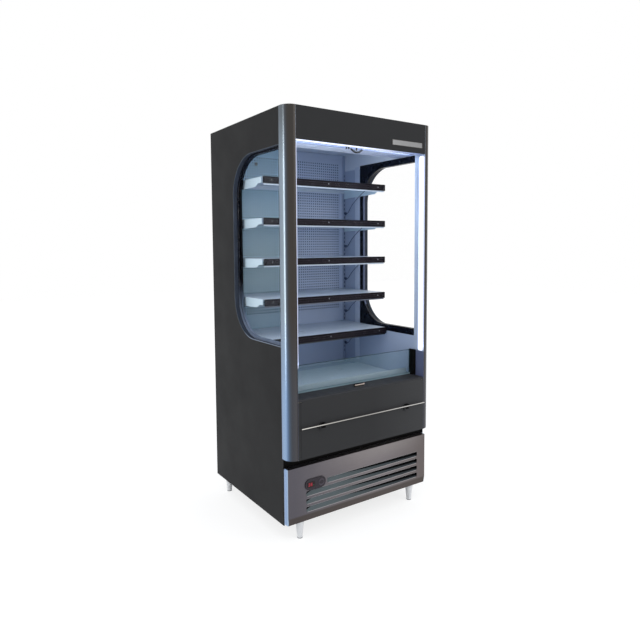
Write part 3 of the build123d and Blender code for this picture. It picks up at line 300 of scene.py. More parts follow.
def front_coat(colour):
    """Front panel, made paler to the right as painted light, with black clips where it stands forward."""
    made = powder_coat("front panel", colour)
    # Painted light: paler towards the right.
    made.tone(made.along(0, 0.05, 0.38), tuple(c * 1.45 for c in colour), 0.9)
    from_clip = made.math("SUBTRACT", made.math("ABSOLUTE", made.axis(0)), FRONT_CLIP_X)
    aside = made.math("ABSOLUTE", from_clip)
    clip = made.times(made.spread(aside, 0.0135, 0.0125), made.along(2, 0.5355, 0.5365))
    clip = made.times(clip, made.behind(-0.0022, -0.0026))
    made.tone(clip, srgb(5, 5, 6))
    return made.material


def rail_coat():
    """Front rail, with the pale channel that grips the riser glass."""
    made = powder_coat("front rail", srgb(60, 60, 62))
    channel = made.times(made.along(2, 0.6864, 0.6868), made.behind(0.0880, 0.0884))
    made.tone(channel, srgb(128, 150, 160))
    return made.material


def frame_border():
    """Black border of the windows, with a painted reflection at the left window's foot."""
    made = moulded("window frame", tuple(settings()[0].frame_black), 0.25, 0.00004)
    paint_foot_reflection(made, srgb(124, 136, 158), 0.95)
    return made.material


def paint_foot_reflection(made, colour, strength):
    """Lightens the foot of the left window as a painted reflection of its pale surroundings."""
    made.tone(made.times(made.along(0, 0.01, -0.01), made.along(2, 1.20, 0.99)), colour, strength)


def trim_metal():
    """Flat rail: a painted highlight along its brushed face, brightest towards the ends, between edges left darker
    as painted shade.
    """
    made = brushed("bright trim", srgb(74, 72, 70), 0.3, (1, 60, 60), 0.9)
    low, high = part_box("front_trim_rail")
    # Painted highlight along the face, and painted shade at the edges.
    face = made.times(made.along(2, low.z + 0.0022, low.z + 0.0028),
                      made.along(2, high.z - 0.0016, high.z - 0.0022))
    front = made.along(1, low.y + 0.0012, low.y + 0.0006)
    face = made.times(face, made.spread(front, 0, 1, 0.55, 1.0))
    made.tone(face, made.ramp(made.along(0, -0.385, 0.385), (
        (0.0, srgb(232, 228, 222)), (0.22, srgb(190, 187, 182)), (0.5, srgb(176, 173, 170)),
        (0.8, srgb(206, 203, 200)), (1.0, srgb(214, 211, 208)))))
    return made.material


def liner_enamel(colour):
    """Interior enamel, made paler on the ceiling to offset how little the lamps light it."""
    made = enamel("interior enamel", colour)
    made.tone(made.along(2, 1.836, 1.846), srgb(220, 230, 244))
    return made.material


def rear_enamel(colour):
    """Rear sheet with painted light and shade towards the left: greener there, and darker again towards the foot."""
    made = enamel("rear sheet enamel", colour)
    left = made.along(0, -0.02, -0.06)
    made.tone(left, tuple(c * k for c, k in zip(colour, (0.97, 1.22, 1.10))))
    made.tone(made.times(left, made.along(2, 1.66, 1.30)), srgb(178, 202, 206), 0.7)
    made.tone(made.times(left, made.along(2, 1.20, 1.02)), srgb(140, 170, 190), 0.8)
    return made.material


def low_shelf(name, colour, node, lip_shade_colour):
    """Shelf enamel with painted shade along the foot of the front lip, seen under the ticket strip."""
    made = enamel(name, colour, 0.32)
    lip_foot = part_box(node)[0].z
    made.tone(made.along(2, lip_foot + 0.0074, lip_foot + 0.0068), lip_shade_colour)
    return made.material


def spacer_with_painted_light():
    """Window spacer: slate at the right window as painted light, near black at the left one above its foot, which is
    lightened as a painted reflection.
    """
    # Painted light: the slate base colour stands for the lit spacer at the right window.
    made = brushed("window spacer", srgb(100, 108, 132), 0.45, (6, 6, 6), 0.1)
    made.tone(made.along(0, 0.01, -0.01), srgb(6, 7, 11))
    paint_foot_reflection(made, srgb(112, 126, 146), 0.9)
    made.feed(made.shader, {"Specular IOR Level": 0.05})
    return made.material


def enamel(name, colour, rough=0.35):
    """Smooth baked enamel with faint unevenness."""
    made = Finish(name, colour, rough)
    made.tone(made.spread(made.noise(3.0, 3), 0.4, 0.7), tuple(c * 0.93 for c in colour), 0.6)
    made.rough(made.noise(9.0, 4), rough - 0.05, rough + 0.08)
    made.relief(made.noise(600, 2), 0.00008, 0.3)
    return made


def brushed(name, colour, rough=0.33, stretch=(1.2, 60, 60), metal=0.9):
    """Metal with a brushed grain along one axis."""
    made = Finish(name, colour, rough, metal)
    grain = made.noise(14, 6, stretch, 0.7)
    made.tone(made.spread(grain, 0.35, 0.7), tuple(c * 0.80 for c in colour), 0.8)
    made.tone(made.spread(made.noise(2.5, 3), 0.45, 0.8), tuple(min(1, c * 1.15) for c in colour), 0.6)
    made.rough(grain, rough - 0.06, rough + 0.1)
    made.relief(grain, 0.00006, 0.5)
    return made


def grille_steel():
    """Brushed panel with painted reflections: darker to the left, darker and warmer to the right, a paler band high
    up, darker along its bent foot, and bluish where it returns to the sides, with a paler hem and a darker bend.
    """
    made = brushed("grille steel", tuple(settings()[0].steel), 0.34)
    made.tone(made.along(0, -0.02, -0.40), srgb(84, 82, 90), 0.85)
    made.tone(made.along(0, 0.16, 0.42), srgb(98, 90, 88), 0.8)
    # Painted highlight: a paler band high up.
    bright = made.times(made.along(2, 0.285, 0.345), made.along(0, -0.30, 0.50))
    painted_highlight = made.times(bright, made.along(0, 0.44, 0.16))
    made.tone(painted_highlight, srgb(150, 145, 142), 0.75)
    made.tone(made.along(2, 0.128, 0.118), srgb(74, 67, 63), 0.85)
    # Painted reflections: bluish returns, a paler hem and a darker bend.
    flank = made.times(made.along(0, 0.4300, 0.4340, absolute=True), made.behind(0.0285, 0.0315))
    made.tone(flank, srgb(164, 187, 216))
    made.tone(made.times(flank, made.behind(0.0485, 0.0492)), srgb(210, 222, 240))
    bend = made.times(made.along(0, 0.4385, 0.4400, absolute=True), made.behind(0.0330, 0.0290))
    made.tone(bend, srgb(112, 126, 148))
    return made.material


def louvre_paint():
    """Louvre grey with painted shade, ever deeper towards the right and under the slots' upper edges, and painted
    light further back towards the left.
    """
    made = Finish("louvre blades", srgb(106, 116, 119), 0.4, Specular_IOR_Level=0.1)
    made.tone(made.along(0, -0.16, 0.30), srgb(58, 64, 68))
    depth = made.math("SUBTRACT", made.axis(1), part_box("grille_panel")[0].y)
    drop = made.math("MODULO", made.math("SUBTRACT", SLOT_TOP, made.axis(2)), LOUVRE_PITCH)
    drop = made.math("SUBTRACT", drop, made.times(depth, 0.36))
    # Painted light further back towards the left, offsetting the shade there.
    made.tone(made.times(made.spread(depth, 0.008, 0.019), made.along(0, 0.05, -0.15)), srgb(142, 153, 157))
    right = made.spread(made.math("POWER", made.along(0, -0.10, 0.376), 0.42), 0.0, 1.0, -0.001, 0.0168)
    left = made.spread(made.along(0, -0.282, -0.330), 0.0, 1.0, -0.001, 0.0130)
    shade = made.math("SUBTRACT", made.math("MAXIMUM", right, left), drop)
    made.tone(made.spread(shade, -0.0008, 0.0008), srgb(9, 10, 12))
    made.rough(made.noise(6.0, 5), 0.36, 0.48)
    made.relief(made.noise(950, 2), 0.0001, 0.4)
    return made.material


def post_metal():
    """Anodised post with painted reflections: dark where it faces forward, paler round its corner and on its flank
    with a painted highlight there, bluer low down and duller at the top as painted shade. Its inner face keeps its
    own pale paint, with painted shade below the lamp.
    """
    colours, _, _ = settings()
    made = Finish("anodised post", tuple(colours.post_dark), 0.24, 0.9)
    reach = made.math("ABSOLUTE", made.axis(0))
    across = made.times(made.math("SUBTRACT", reach, 0.3955), -0.8255)
    back = made.times(made.math("SUBTRACT", made.axis(1), POSTS_FRONT + 0.049), -0.5644)
    turn = made.spread(made.math("ADD", across, back), -0.0477, 0.0277)
    dark, light = tuple(colours.post_dark), tuple(colours.post_light)
    # Painted reflections round the corner, with a painted highlight near 0.30.
    upper = made.ramp(turn, ((0.0, light), (0.20, srgb(144, 158, 170)), (0.30, srgb(160, 174, 184)),
                             (0.36, srgb(104, 114, 126)), (0.43, srgb(78, 84, 92)), (0.52, srgb(67, 66, 66)),
                             (0.66, dark), (0.93, dark), (1.0, tuple(c * 0.55 for c in dark))))
    lower = made.ramp(turn, ((0.0, srgb(132, 152, 182)), (0.12, srgb(144, 168, 200)), (0.27, srgb(140, 165, 197)),
                             (0.33, srgb(116, 140, 172)), (0.39, srgb(98, 120, 150)), (0.46, srgb(82, 98, 120)),
                             (0.54, srgb(73, 82, 94)), (0.66, srgb(69, 71, 77)), (0.93, srgb(76, 75, 78)),
                             (1.0, srgb(52, 50, 52))))
    made.paint(upper)
    made.tone(made.along(2, 1.10, 0.70), lower)
    # Painted shade: duller at the top.
    made.tone(made.along(2, 1.74, 1.96), srgb(66, 64, 62), 0.62)
    inside = made.spread(reach, 0.3942, 0.3946, 1.0, 0.0)
    made.tone(inside, tuple(colours.post_inside))
    # Painted shade on the inner face below the lamp.
    made.tone(made.times(inside, made.along(2, 0.828, 0.818)), srgb(100, 107, 138))
    made.feed(made.shader, {"Metallic": made.spread(inside, 0.0, 1.0, 0.9, 0.0)})
    grain = made.noise(16, 5, (70, 70, 0.6), 0.6)
    made.tone(made.spread(grain, 0.4, 0.7), srgb(40, 38, 38), 0.10)
    made.relief(grain, 0.00004, 0.4)
    return made.material


def clear_glass(name, tint, body, edge_strength, metal=1.0, rough=0.02):
    """Thin clear sheet: a faint body colour and the pale veil that glass has at a slant."""
    made = Finish(name, tint, rough, metal)
    slant = made.add("LayerWeight", {"Blend": 0.5})
    haze = made.spread(made.noise(7, 3), 0.3, 0.8, 0.0, body * 0.3)
    veil = made.spread(made.math("POWER", slant.outputs["Facing"], 5.0), 0.0, 1.0, body, edge_strength)
    made.feed(made.shader, {"Alpha": made.math("ADD", veil, haze)})
    return made.material


def glowing(name, colour, strength, body=(0.9, 0.93, 0.96)):
    """Diffuser of a lamp, slightly uneven as its diodes show through."""
    made = Finish(name, body, 0.4)
    made.glow(colour, strength)
    made.tone(made.spread(made.noise(40, 2), 0.4, 0.6), tuple(c * 0.94 for c in body), 0.5)
    made.relief(made.noise(500, 2), 0.00005, 0.3)
    return made


def blended_glow(made, stops, source):
    """Gives a lamp a glow that changes along one measure."""
    made.feed(made.shader, {"Emission Color": made.ramp(source, stops)})
    return made.material


def canopy_glow(light, strength):
    """Canopy lamps: the front strip fades towards the right, and the rear one is faint."""
    made = glowing("canopy lamp", light, strength, srgb(150, 162, 190))
    faint = made.math("MAXIMUM", made.along(0, 0.02, 0.24), made.behind(0.066, 0.078))
    dim = tuple(c * 0.62 for c in light)
    return blended_glow(made, ((0.0, light), (0.45, dim), (1.0, srgb(70, 80, 116))), faint)


def post_glow(light, strength):
    """Post lamps: bright faces with softer, lavender edges."""
    made = glowing("post lamp", light, strength, srgb(190, 200, 222))
    depth = made.behind(0.002, 0.042)
    face = made.along(0, 0.3892, 0.3886, absolute=True)
    soft, edge = tuple(c * 0.55 for c in light), srgb(170, 164, 186)
    made.feed(made.shader, {"Emission Strength": made.spread(face, 0.0, 1.0, 0.75, strength)})
    blended_glow(made, ((0.0, edge), (0.14, soft), (0.26, light), (0.66, light), (0.82, soft),
                        (1.0, srgb(132, 150, 186))), depth)
    return made.material


def moulded(name, colour, rough=0.5, grain=0.0001, scale=700):
    """Moulded plastic with a fine spark texture."""
    made = Finish(name, colour, rough, Specular_IOR_Level=0.25)
    made.tone(made.spread(made.noise(4, 3), 0.4, 0.8), tuple(min(1, c * 1.2 + 0.0006) for c in colour), 0.4)
    made.rough(made.noise(12, 4), rough - 0.06, rough + 0.08)
    made.relief(made.noise(scale, 2), grain, 0.5)
    return made


def woven(name, colour):
    """Coated curtain cloth with a plain weave."""
    made = Finish(name, colour, 0.75)
    weave = made.times(made.waves(420, "Z"), made.waves(420, "X"))
    made.tone(weave, tuple(c * 0.72 for c in colour), 0.7)
    made.relief(weave, 0.00015, 0.6)
    return made.material


def foam_block():
    """Open-celled insulation."""
    made = Finish("foam", srgb(226, 208, 158), 0.9)
    made.tone(made.spots(220), srgb(190, 168, 112), 0.5)
    made.relief(made.spots(300), 0.0004, 0.6)
    return made.material


def ticket_plastic():
    """Extruded dark strip with a faint sheen along its length: roughness that varies along it, and paler streaks
    that paint the sheen in.
    """
    colours, _, _ = settings()
    made = Finish("ticket strip", tuple(colours.strip_black), 0.34, Specular_IOR_Level=0.07)
    made.tone(made.spread(made.noise(5, 4, (1, 1, 30)), 0.4, 0.8), srgb(36, 31, 38), 0.3)
    made.rough(made.noise(8, 4, (1, 30, 30)), 0.28, 0.44)
    made.relief(made.noise(30, 3, (0.5, 30, 30)), 0.0001, 0.3)
    return made.material


def finned(name):
    """Aluminium fins edge on, with painted shade in the gaps between them."""
    made = Finish(name, srgb(176, 180, 184), 0.4, 0.7)
    fins = made.waves(160, "X")
    made.tone(fins, srgb(84, 88, 92), 0.8)
    made.relief(fins, 0.0008, 0.7)
    return made.material


FINISHES = {}

# Finish: maker, material name, colour and what else the maker takes.
PLAIN_FINISHES = {
    "recess": (powder_coat, "recess black", (16, 15, 15), 0.5),
    "zinc": (brushed, "zinc sheet", (128, 132, 134), 0.45, (8, 8, 8), 0.5),
    "glass edge": (moulded, "riser glass edge", (26, 46, 44), 0.15, 0.00002),
    "seal": (moulded, "window seal", (12, 13, 17), 0.42, 0.0001),
    "bracket": (enamel, "bracket enamel", (212, 234, 248), 0.32),
    "deck": (enamel, "deck enamel", (206, 222, 232), 0.32),
    "liner edge": (enamel, "liner edge enamel", (206, 218, 238), 0.35),
    "standard": (enamel, "upright enamel", (150, 165, 192), 0.4),
    "well": (brushed, "well steel", (170, 174, 178), 0.35),
    "badge": (brushed, "plain plate", (132, 132, 133), 0.34, (1.5, 60, 60), 0.8),
    "badge rim": (brushed, "plate rim", (84, 82, 80), 0.3, (9, 9, 9), 0.8),
    "bar": (brushed, "pull bar", (206, 206, 210), 0.24, (1, 60, 60), 0.9),
    "wire": (brushed, "dark wire", (18, 17, 21), 0.4, (6, 6, 6), 0.1),
    "hook": (brushed, "bright hook", (150, 142, 130), 0.2, (6, 6, 6), 1.0),
    "lead": (moulded, "lead rubber", (78, 90, 118), 0.6, 0.0002),
    "socket": (moulded, "lamp socket", (92, 104, 130), 0.5),
    "key": (moulded, "key plastic", (70, 64, 72), 0.5),
    "foot": (moulded, "foot plastic", (240, 240, 241), 0.38, 0.00006),
    "foot pad": (moulded, "foot pad", (176, 176, 178), 0.5, 0.0001),
    "black": (powder_coat, "compressor black", (26, 26, 28), 0.4),
    "fan": (moulded, "fan plastic", (24, 24, 26), 0.45),
    "copper": (brushed, "copper tube", (190, 116, 84), 0.3, (5, 5, 5), 0.9),
    "grey": (moulded, "grey plastic", (120, 122, 126), 0.5),
    "bezel": (moulded, "controller case", (46, 40, 47), 0.3, 0.00005),
    "dark lens": (moulded, "display lens", (30, 12, 18), 0.12, 0.00001),
    "red digits": (glowing, "red digits", (206, 48, 70), 0.62, srgb(110, 16, 28)),
    "green lamp": (glowing, "green lamp", (50, 110, 74), 0.35, srgb(30, 80, 46)),
    "screw": (brushed, "screw head", (150, 152, 158), 0.3, (9, 9, 9), 0.9),
    # Catch rim: its pale warm colour is a painted highlight, standing for the glints on its bright metal.
    "catch rim": (brushed, "catch rim", (226, 208, 196), 0.35, (9, 9, 9), 0.3),
    "grip": (moulded, "grip sleeve", (7, 7, 9), 0.6),
    "lip": (moulded, "strip lip", (52, 46, 54), 0.25, 0.00004),
    # Slot lip: its pale colour is a painted highlight along the rolled edge.
    "bright lip": (brushed, "slot lip", (178, 176, 178), 0.34, (1.5, 60, 60), 0.6),
    "slot shade": (moulded, "upright slot shade", (58, 66, 88), 0.7),
    # Jamb edge: its pale bluish colour is a painted highlight along the rolled edge.
    "jamb edge": (moulded, "jamb edge", (60, 70, 82), 0.4, 0.00004),
    "outlet": (enamel, "outlet grille", (210, 218, 234), 0.45),
    "shadow": (powder_coat, "duct shadow", (64, 74, 98), 0.7),
}

# Colours that come in along one axis: axis, first and last place, colour.
FADES = {
    "jamb edge": (2, 0.952, 0.930, (134, 146, 164)),  # the foot catches the light
    "outlet": (0, -0.05, 0.32, (150, 160, 186)),  # deeper in shade towards the right
    "shadow": (0, -0.01, -0.04, (10, 16, 20)),  # deeper at the left
}


def mix_finishes():
    colours, _, studio = settings()
    light, white, shelf = tuple(colours.lamp), tuple(colours.lamp_face), tuple(colours.shelf)
    FINISHES.update({
        "panel": powder_coat("header panel", tuple(colours.panel)).material,
        "side": side_coat(tuple(colours.side)),
        "front": front_coat(tuple(colours.front)),
        "rail": rail_coat(),
        "post": post_metal(),
        "foam": foam_block(),
        "pane": clear_glass("window pane", tuple(colours.glass_tint), 0.0006, 0.17),
        "riser": clear_glass("riser glass", srgb(90, 124, 136), 0.16, 0.5, 0.0),
        "frame": frame_border(),
        "spacer": spacer_with_painted_light(),
        "enamel": liner_enamel(tuple(colours.enamel)),
        "rear enamel": rear_enamel(tuple(colours.enamel)),
        "shelf": enamel("shelf enamel", shelf, 0.32).material,
        # The last colour is the painted shade under each ticket strip.
        "shelf four": low_shelf("fourth shelf enamel", shelf, "shelf_4", srgb(96, 102, 118)),
        "shelf five": low_shelf("fifth shelf enamel", shelf, "shelf_5", srgb(34, 38, 50)),
        "louvre": louvre_paint(),
        "steel": grille_steel(),
        "trim": trim_metal(),
        "cloth": woven("curtain cloth", srgb(150, 152, 156)),
        "canopy lamp": canopy_glow(white, studio.canopy_glow),
        "post lamp": post_glow(white, studio.post_glow),
        "shelf lamp": glowing("shelf lamp", light, studio.shelf_glow).material,
        "strip": ticket_plastic(),
        "fins": finned("coil fins"),
    })
    for finish, (maker, name, colour, *others) in PLAIN_FINISHES.items():
        made = maker(name, srgb(*colour), *others)
        if finish in FADES:
            axis, low, high, other = FADES[finish]
            made.tone(made.along(axis, low, high), srgb(*other))
        FINISHES[finish] = made.material


NODE_FINISH = {
    "panel": "top_panel header_fascia",
    "side": "left_side_panel right_side_panel",
    "front": "front_panel",
    "rail": "front_rail",
    "zinc": "rear_panel fan_plates",
    "recess": "base_frame riser_ends",
    "post": "corner_posts",
    "foam": "foam_insulation",
    "pane": "window_panes",
    "riser": "riser_glass",
    "frame": "window_frames",
    "enamel": "interior_liners canopy_frame",
    "rear enamel": "duct_panel",
    "outlet": "discharge_grille",
    "shelf": "shelf_1 shelf_2 shelf_3",
    "shelf four": "shelf_4",
    "shelf five": "shelf_5",
    "bracket": "shelf_brackets",
    "deck": "deck_pans return_air_grille",
    "standard": "shelf_standards",
    "louvre": "grille_blades",
    "steel": "grille_panel",
    "well": "well_liner",
    "badge": "badge_plate",
    "trim": "front_trim_rail",
    "bar": "curtain_pull_bar",
    "wire": "curtain_handle",
    "hook": "curtain_catch",
    "cloth": "curtain_roller curtain_cloth",
    "canopy lamp": "canopy_lamp",
    "post lamp": "post_lamps",
    "shelf lamp": "shelf_lamps",
    "strip": "price_strips",
    "lead": "shelf_lamp_leads",
    "key": "key_up key_down",
    "foot": "foot_front_left foot_front_right foot_rear_left foot_rear_right",
    "black": "compressor",
    "fins": "condenser_coil evaporator_coil",
    "fan": "fan_blade_left fan_blade_right fan_blade_condenser fan_motors",
    "copper": "refrigerant_pipes",
    "grey": "condensate_drain electrical_box",
    "bezel": "controller_housing",
}


# ------------------------------------------------------------------ mesh helpers
def add_block(bm, low, high, bevel=0.0, segments=2):
    """A block between two corners, with its edges rounded if asked."""
    low, high = Vector(low), Vector(high)
    middle, size = (low + high) / 2, high - low
    move = Matrix.Translation(middle) @ Matrix.Diagonal((*size, 1))
    made = bmesh.ops.create_cube(bm, size=1.0, matrix=move)
    if bevel:
        edges = list({edge for vert in made["verts"] for edge in vert.link_edges})
        bmesh.ops.bevel(bm, geom=edges, offset=bevel, segments=segments, profile=0.5, affect="EDGES", material=-1)


def add_dome(bm, centre, radius, height, normal, sides=12):
    """A shallow screw head that stands on a face."""
    place = pointed(centre, normal) @ Matrix.Translation((0, 0, height / 2))
    bmesh.ops.create_cone(bm, cap_ends=True, segments=sides, radius1=radius, radius2=radius * 0.6,
                          depth=height, matrix=place)


def add_rod(bm, start, end, radius, sides=12):
    """A round bar between two places."""
    start, end = Vector(start), Vector(end)
    bmesh.ops.create_cone(bm, cap_ends=True, segments=sides, radius1=radius, radius2=radius,
                          depth=(end - start).length, matrix=pointed((start + end) / 2, end - start))


def upright(middle, width, height):
    """Places a flat unit grid upright, facing along y."""
    return Matrix.Translation(middle) @ Matrix.Rotation(math.pi / 2, 4, "X") @ Matrix.Diagonal((width, height, 1, 1))


def pointed(place, direction):
    """A placement whose z axis points in a direction."""
    turn = Vector((0, 0, 1)).rotation_difference(Vector(direction))
    return Matrix.Translation(Vector(place)) @ turn.to_matrix().to_4x4()


def sheet_outline(low, high, normal, corners=(), radius=0.0):
    """A flat sheet between two corners, with some of its corners rounded, as its own bmesh."""
    bm = bmesh.new()
    low, high = Vector(low), Vector(high)
    middle, size = (low + high) / 2, high - low
    if normal == "Y":
        place = upright(middle, size.x, size.z)
    elif normal == "X":
        place = Matrix.Translation(middle) @ Matrix.Rotation(math.pi / 2, 4, "Y")
        place = place @ Matrix.Diagonal((size.z, size.y, 1, 1))
    else:
        place = Matrix.Translation(middle) @ Matrix.Diagonal((size.x, size.y, 1, 1))
    bmesh.ops.create_grid(bm, x_segments=1, y_segments=1, size=0.5, matrix=place)
    picked = [vert for vert in bm.verts if any(vert.co[axis] * sign > middle[axis] * sign
                                               for axis, sign in corners)]
    if picked:
        bmesh.ops.bevel(bm, geom=picked, offset=radius, segments=20, profile=0.5, affect="VERTICES", material=-1)
    return bm


def thicken(bm, step):
    """Extrudes every face of a flat bmesh by one step."""
    made = bmesh.ops.extrude_face_region(bm, geom=bm.faces[:])
    moved = [item for item in made["geom"] if isinstance(item, bmesh.types.BMVert)]
    bmesh.ops.translate(bm, verts=moved, vec=Vector(step))
    return bm


def join(bm, other):
    """Adds another bmesh to this one."""
    mesh = bpy.data.meshes.new("joined")
    other.to_mesh(mesh)
    other.free()
    bm.from_mesh(mesh)
    bpy.data.meshes.remove(mesh)


def keep_rim(bm, width):
    """Cuts a flat sheet down to a band along its outline."""
    ring = bmesh.ops.inset_region(bm, faces=bm.faces[:], thickness=width, use_even_offset=True,
                                  use_boundary=True)
    keep_faces(bm, ring["faces"])


def keep_faces(bm, kept):
    kept = set(kept)
    bmesh.ops.delete(bm, geom=[face for face in bm.faces if face not in kept], context="FACES")


def add_window_ring(bm, side, x, y, radius, width):
    """A band along a side window's outline, rounded at the rear corners; sizes in millimetres."""
    low, high = (at(side * x[0], depth, z) for depth, z in zip(y, WINDOW_Z))
    flat = sheet_outline(low, high, "X", ((1, 1),), radius / 1000)
    keep_rim(flat, width)
    join(bm, thicken(flat, (side * (x[1] - x[0]) / 1000, 0, 0)))


def finish_piece(bm, name, finish, body="cabinet", smooth=False, weld=False):
    """Turns a bmesh into a piece that rides on a body, unless none is given."""
    if weld:
        bmesh.ops.remove_doubles(bm, verts=bm.verts, dist=WELD_REACH)
    if not bm.faces:
        raise RuntimeError(f"{name} has no faces")
    bmesh.ops.recalc_face_normals(bm, faces=bm.faces)
    mesh = bpy.data.meshes.new(name)
    bm.to_mesh(mesh)
    bm.free()
    mesh.materials.append(FINISHES[finish])
    if smooth:
        mesh.shade_smooth()
    piece = bpy.data.objects.new(name, mesh)
    bpy.context.scene.collection.objects.link(piece)
    if body:
        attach(piece, body)
    return piece


def soften(piece, width, segments=2):
    """Rounds a piece's edges with a modifier."""
    bevel = piece.modifiers.new("softened edges", "BEVEL")
    bevel.width = width
    bevel.segments = segments
    bevel.limit_method = "ANGLE"
    return piece


# ------------------------------------------------------------------ operators
class FRIDGE_OT_finishes(bpy.types.Operator):
    """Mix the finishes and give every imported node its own"""
    bl_idname = "fridge.finishes"
    bl_label = "Finishes"

    def execute(self, context):
        mix_finishes()
        given = set()
        for finish, names in NODE_FINISH.items():
            for name in names.split():
                if name in cad:
                    cad[name].data.materials.clear()
                    cad[name].data.materials.append(FINISHES[finish])
                    given.add(name)
        if set(cad) - given:
            raise RuntimeError(f"nodes with no finish: {sorted(set(cad) - given)}")
        return {"FINISHED"}


class FRIDGE_OT_rear_sheet(bpy.types.Operator):
    """Perforated sheet in front of the rear duct"""
    bl_idname = "fridge.rear_sheet"
    bl_label = "Perforated rear sheet"

    def execute(self, context):
        _, sizes, _ = settings()
        face_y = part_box("shelf_standards")[0].y + 0.002
        pitch = sizes.hole_pitch
        columns = int(2 * PERFORATION_REACH / pitch)
        rows = int((sizes.sheet_high - sizes.sheet_low) / pitch)
        bm = bmesh.new()
        middle = Vector((0, face_y - 0.0008, (sizes.sheet_low + sizes.sheet_high) / 2))
        bmesh.ops.create_grid(bm, x_segments=columns, y_segments=rows, size=0.5,
                              matrix=upright(middle, columns * pitch, rows * pitch))
        inner = bmesh.ops.inset_individual(bm, faces=bm.faces[:], thickness=(pitch - sizes.hole_width) / 2,
                                           use_even_offset=True)
        keep_faces(bm, inner["faces"])
        sheet = finish_piece(bm, "perforated_rear_sheet", "rear enamel")
        wall = sheet.modifiers.new("sheet thickness", "SOLIDIFY")
        wall.thickness = 0.0006
        wall.offset = -1
        bm = bmesh.new()
        reach = Vector((columns * pitch / 2, 0, rows * pitch / 2))
        add_block(bm, Vector((0, face_y - 0.0002, middle.z)) - reach, Vector((0, face_y, middle.z)) + reach)
        finish_piece(bm, "duct_shadow_sheet", "shadow")
        return {"FINISHED"}


class FRIDGE_OT_ticket_strips(bpy.types.Operator):
    """Lips, screws and end caps of the ticket strips"""
    bl_idname = "fridge.ticket_strips"
    bl_label = "Ticket strips"

    def execute(self, context):
        _, sizes, _ = settings()
        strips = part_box("price_strips")
        lips, screws, caps = bmesh.new(), bmesh.new(), bmesh.new()
        for number in range(1, 6):
            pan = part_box(f"shelf_{number}")
            top, front = pan[1].z, pan[0].y - 0.006
            left, right = strips[0].x, strips[1].x
            for drop in (0.0095, 0.0115, 0.0195, 0.0240):
                add_block(lips, (left + 0.003, front - 0.0006, top - drop - sizes.strip_lip),
                          (right - 0.003, front + 0.0008, top - drop), 0.0003, 1)
            for x in (-0.343, 0.0, 0.337):
                add_dome(screws, (x, front, top - 0.0165), sizes.screw_radius, 0.0012, (0, -1, 0))
            for x in (left, right - 0.003):
                add_block(caps, (x, front - 0.0008, top - 0.0338),
                          (x + 0.003, front + 0.006, top - 0.0002), 0.0006)
        finish_piece(lips, "ticket_strip_lips", "lip")
        finish_piece(screws, "ticket_strip_screws", "screw")
        finish_piece(caps, "ticket_strip_caps", "strip")
        return {"FINISHED"}


class FRIDGE_OT_windows(bpy.types.Operator):
    """Window spacers with painted light, rolled jamb edges with a painted highlight, and riser edge"""
    bl_idname = "fridge.windows"
    bl_label = "Window fittings"

    def execute(self, context):
        _, sizes, _ = settings()
        spacers, edges = bmesh.new(), bmesh.new()
        for side in SIDES:
            add_window_ring(spacers, side, (400.4, 412.2), (76, 521), 188, sizes.spacer)
            add_window_ring(edges, side, (442.2, 444.4), (61, 533), 200, sizes.jamb_edge)
        finish_piece(spacers, "window_spacers", "spacer", weld=True)
        finish_piece(edges, "window_jamb_edges", "jamb edge", weld=True)
        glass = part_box("riser_glass")
        bm = bmesh.new()
        add_block(bm, (glass[0].x, glass[0].y - 0.0004, glass[1].z - 0.0005),
                  (glass[1].x, glass[1].y + 0.0004, glass[1].z + 0.0010), 0.0005)
        finish_piece(bm, "riser_top_edge", "glass edge")
        return {"FINISHED"}


class FRIDGE_OT_interior_trims(bpy.types.Operator):
    """Slots of the uprights, liner edges, rear sheet bead and temperature probe"""
    bl_idname = "fridge.interior_trims"
    bl_label = "Interior trims"

    def execute(self, context):
        slots, edges, bead, probe = bmesh.new(), bmesh.new(), bmesh.new(), bmesh.new()
        for side in SIDES:
            x = side * UPRIGHT_X
            for step in range(UPRIGHT_SLOTS):
                z = UPRIGHT_FOOT + UPRIGHT_PITCH * step
                add_block(slots, at(x - 1.9, 687.5, z), at(x + 1.9, 688.4, z + 13))
            low, high = sorted((side * 392.4, side * 394.2))
            add_block(edges, at(low, 548, 690), at(high, 588, 1853), 0.0006)
            x = side * BEAD_X
            add_block(bead, at(x - 1.6, 688, 990), at(x + 1.6, 690.2, BEAD_TOP), 0.0006, 1)
        add_block(bead, at(-BEAD_X, 688, BEAD_TOP - 2), at(BEAD_X, 690.2, BEAD_TOP + 1.4), 0.0006, 1)
        finish_piece(slots, "upright_slots", "slot shade")
        finish_piece(edges, "liner_edge_trims", "liner edge")
        finish_piece(bead, "rear_sheet_bead", "liner edge")
        for start, end, radius, sides in ((690.5, 684, 0.0085, 24), (684.5, 680, 0.0042, 20)):
            add_rod(probe, at(PROBE_X, start, PROBE_Z), at(PROBE_X, end, PROBE_Z), radius, sides)
        soften(finish_piece(probe, "temperature_probe", "hook"), 0.0006)
        return {"FINISHED"}


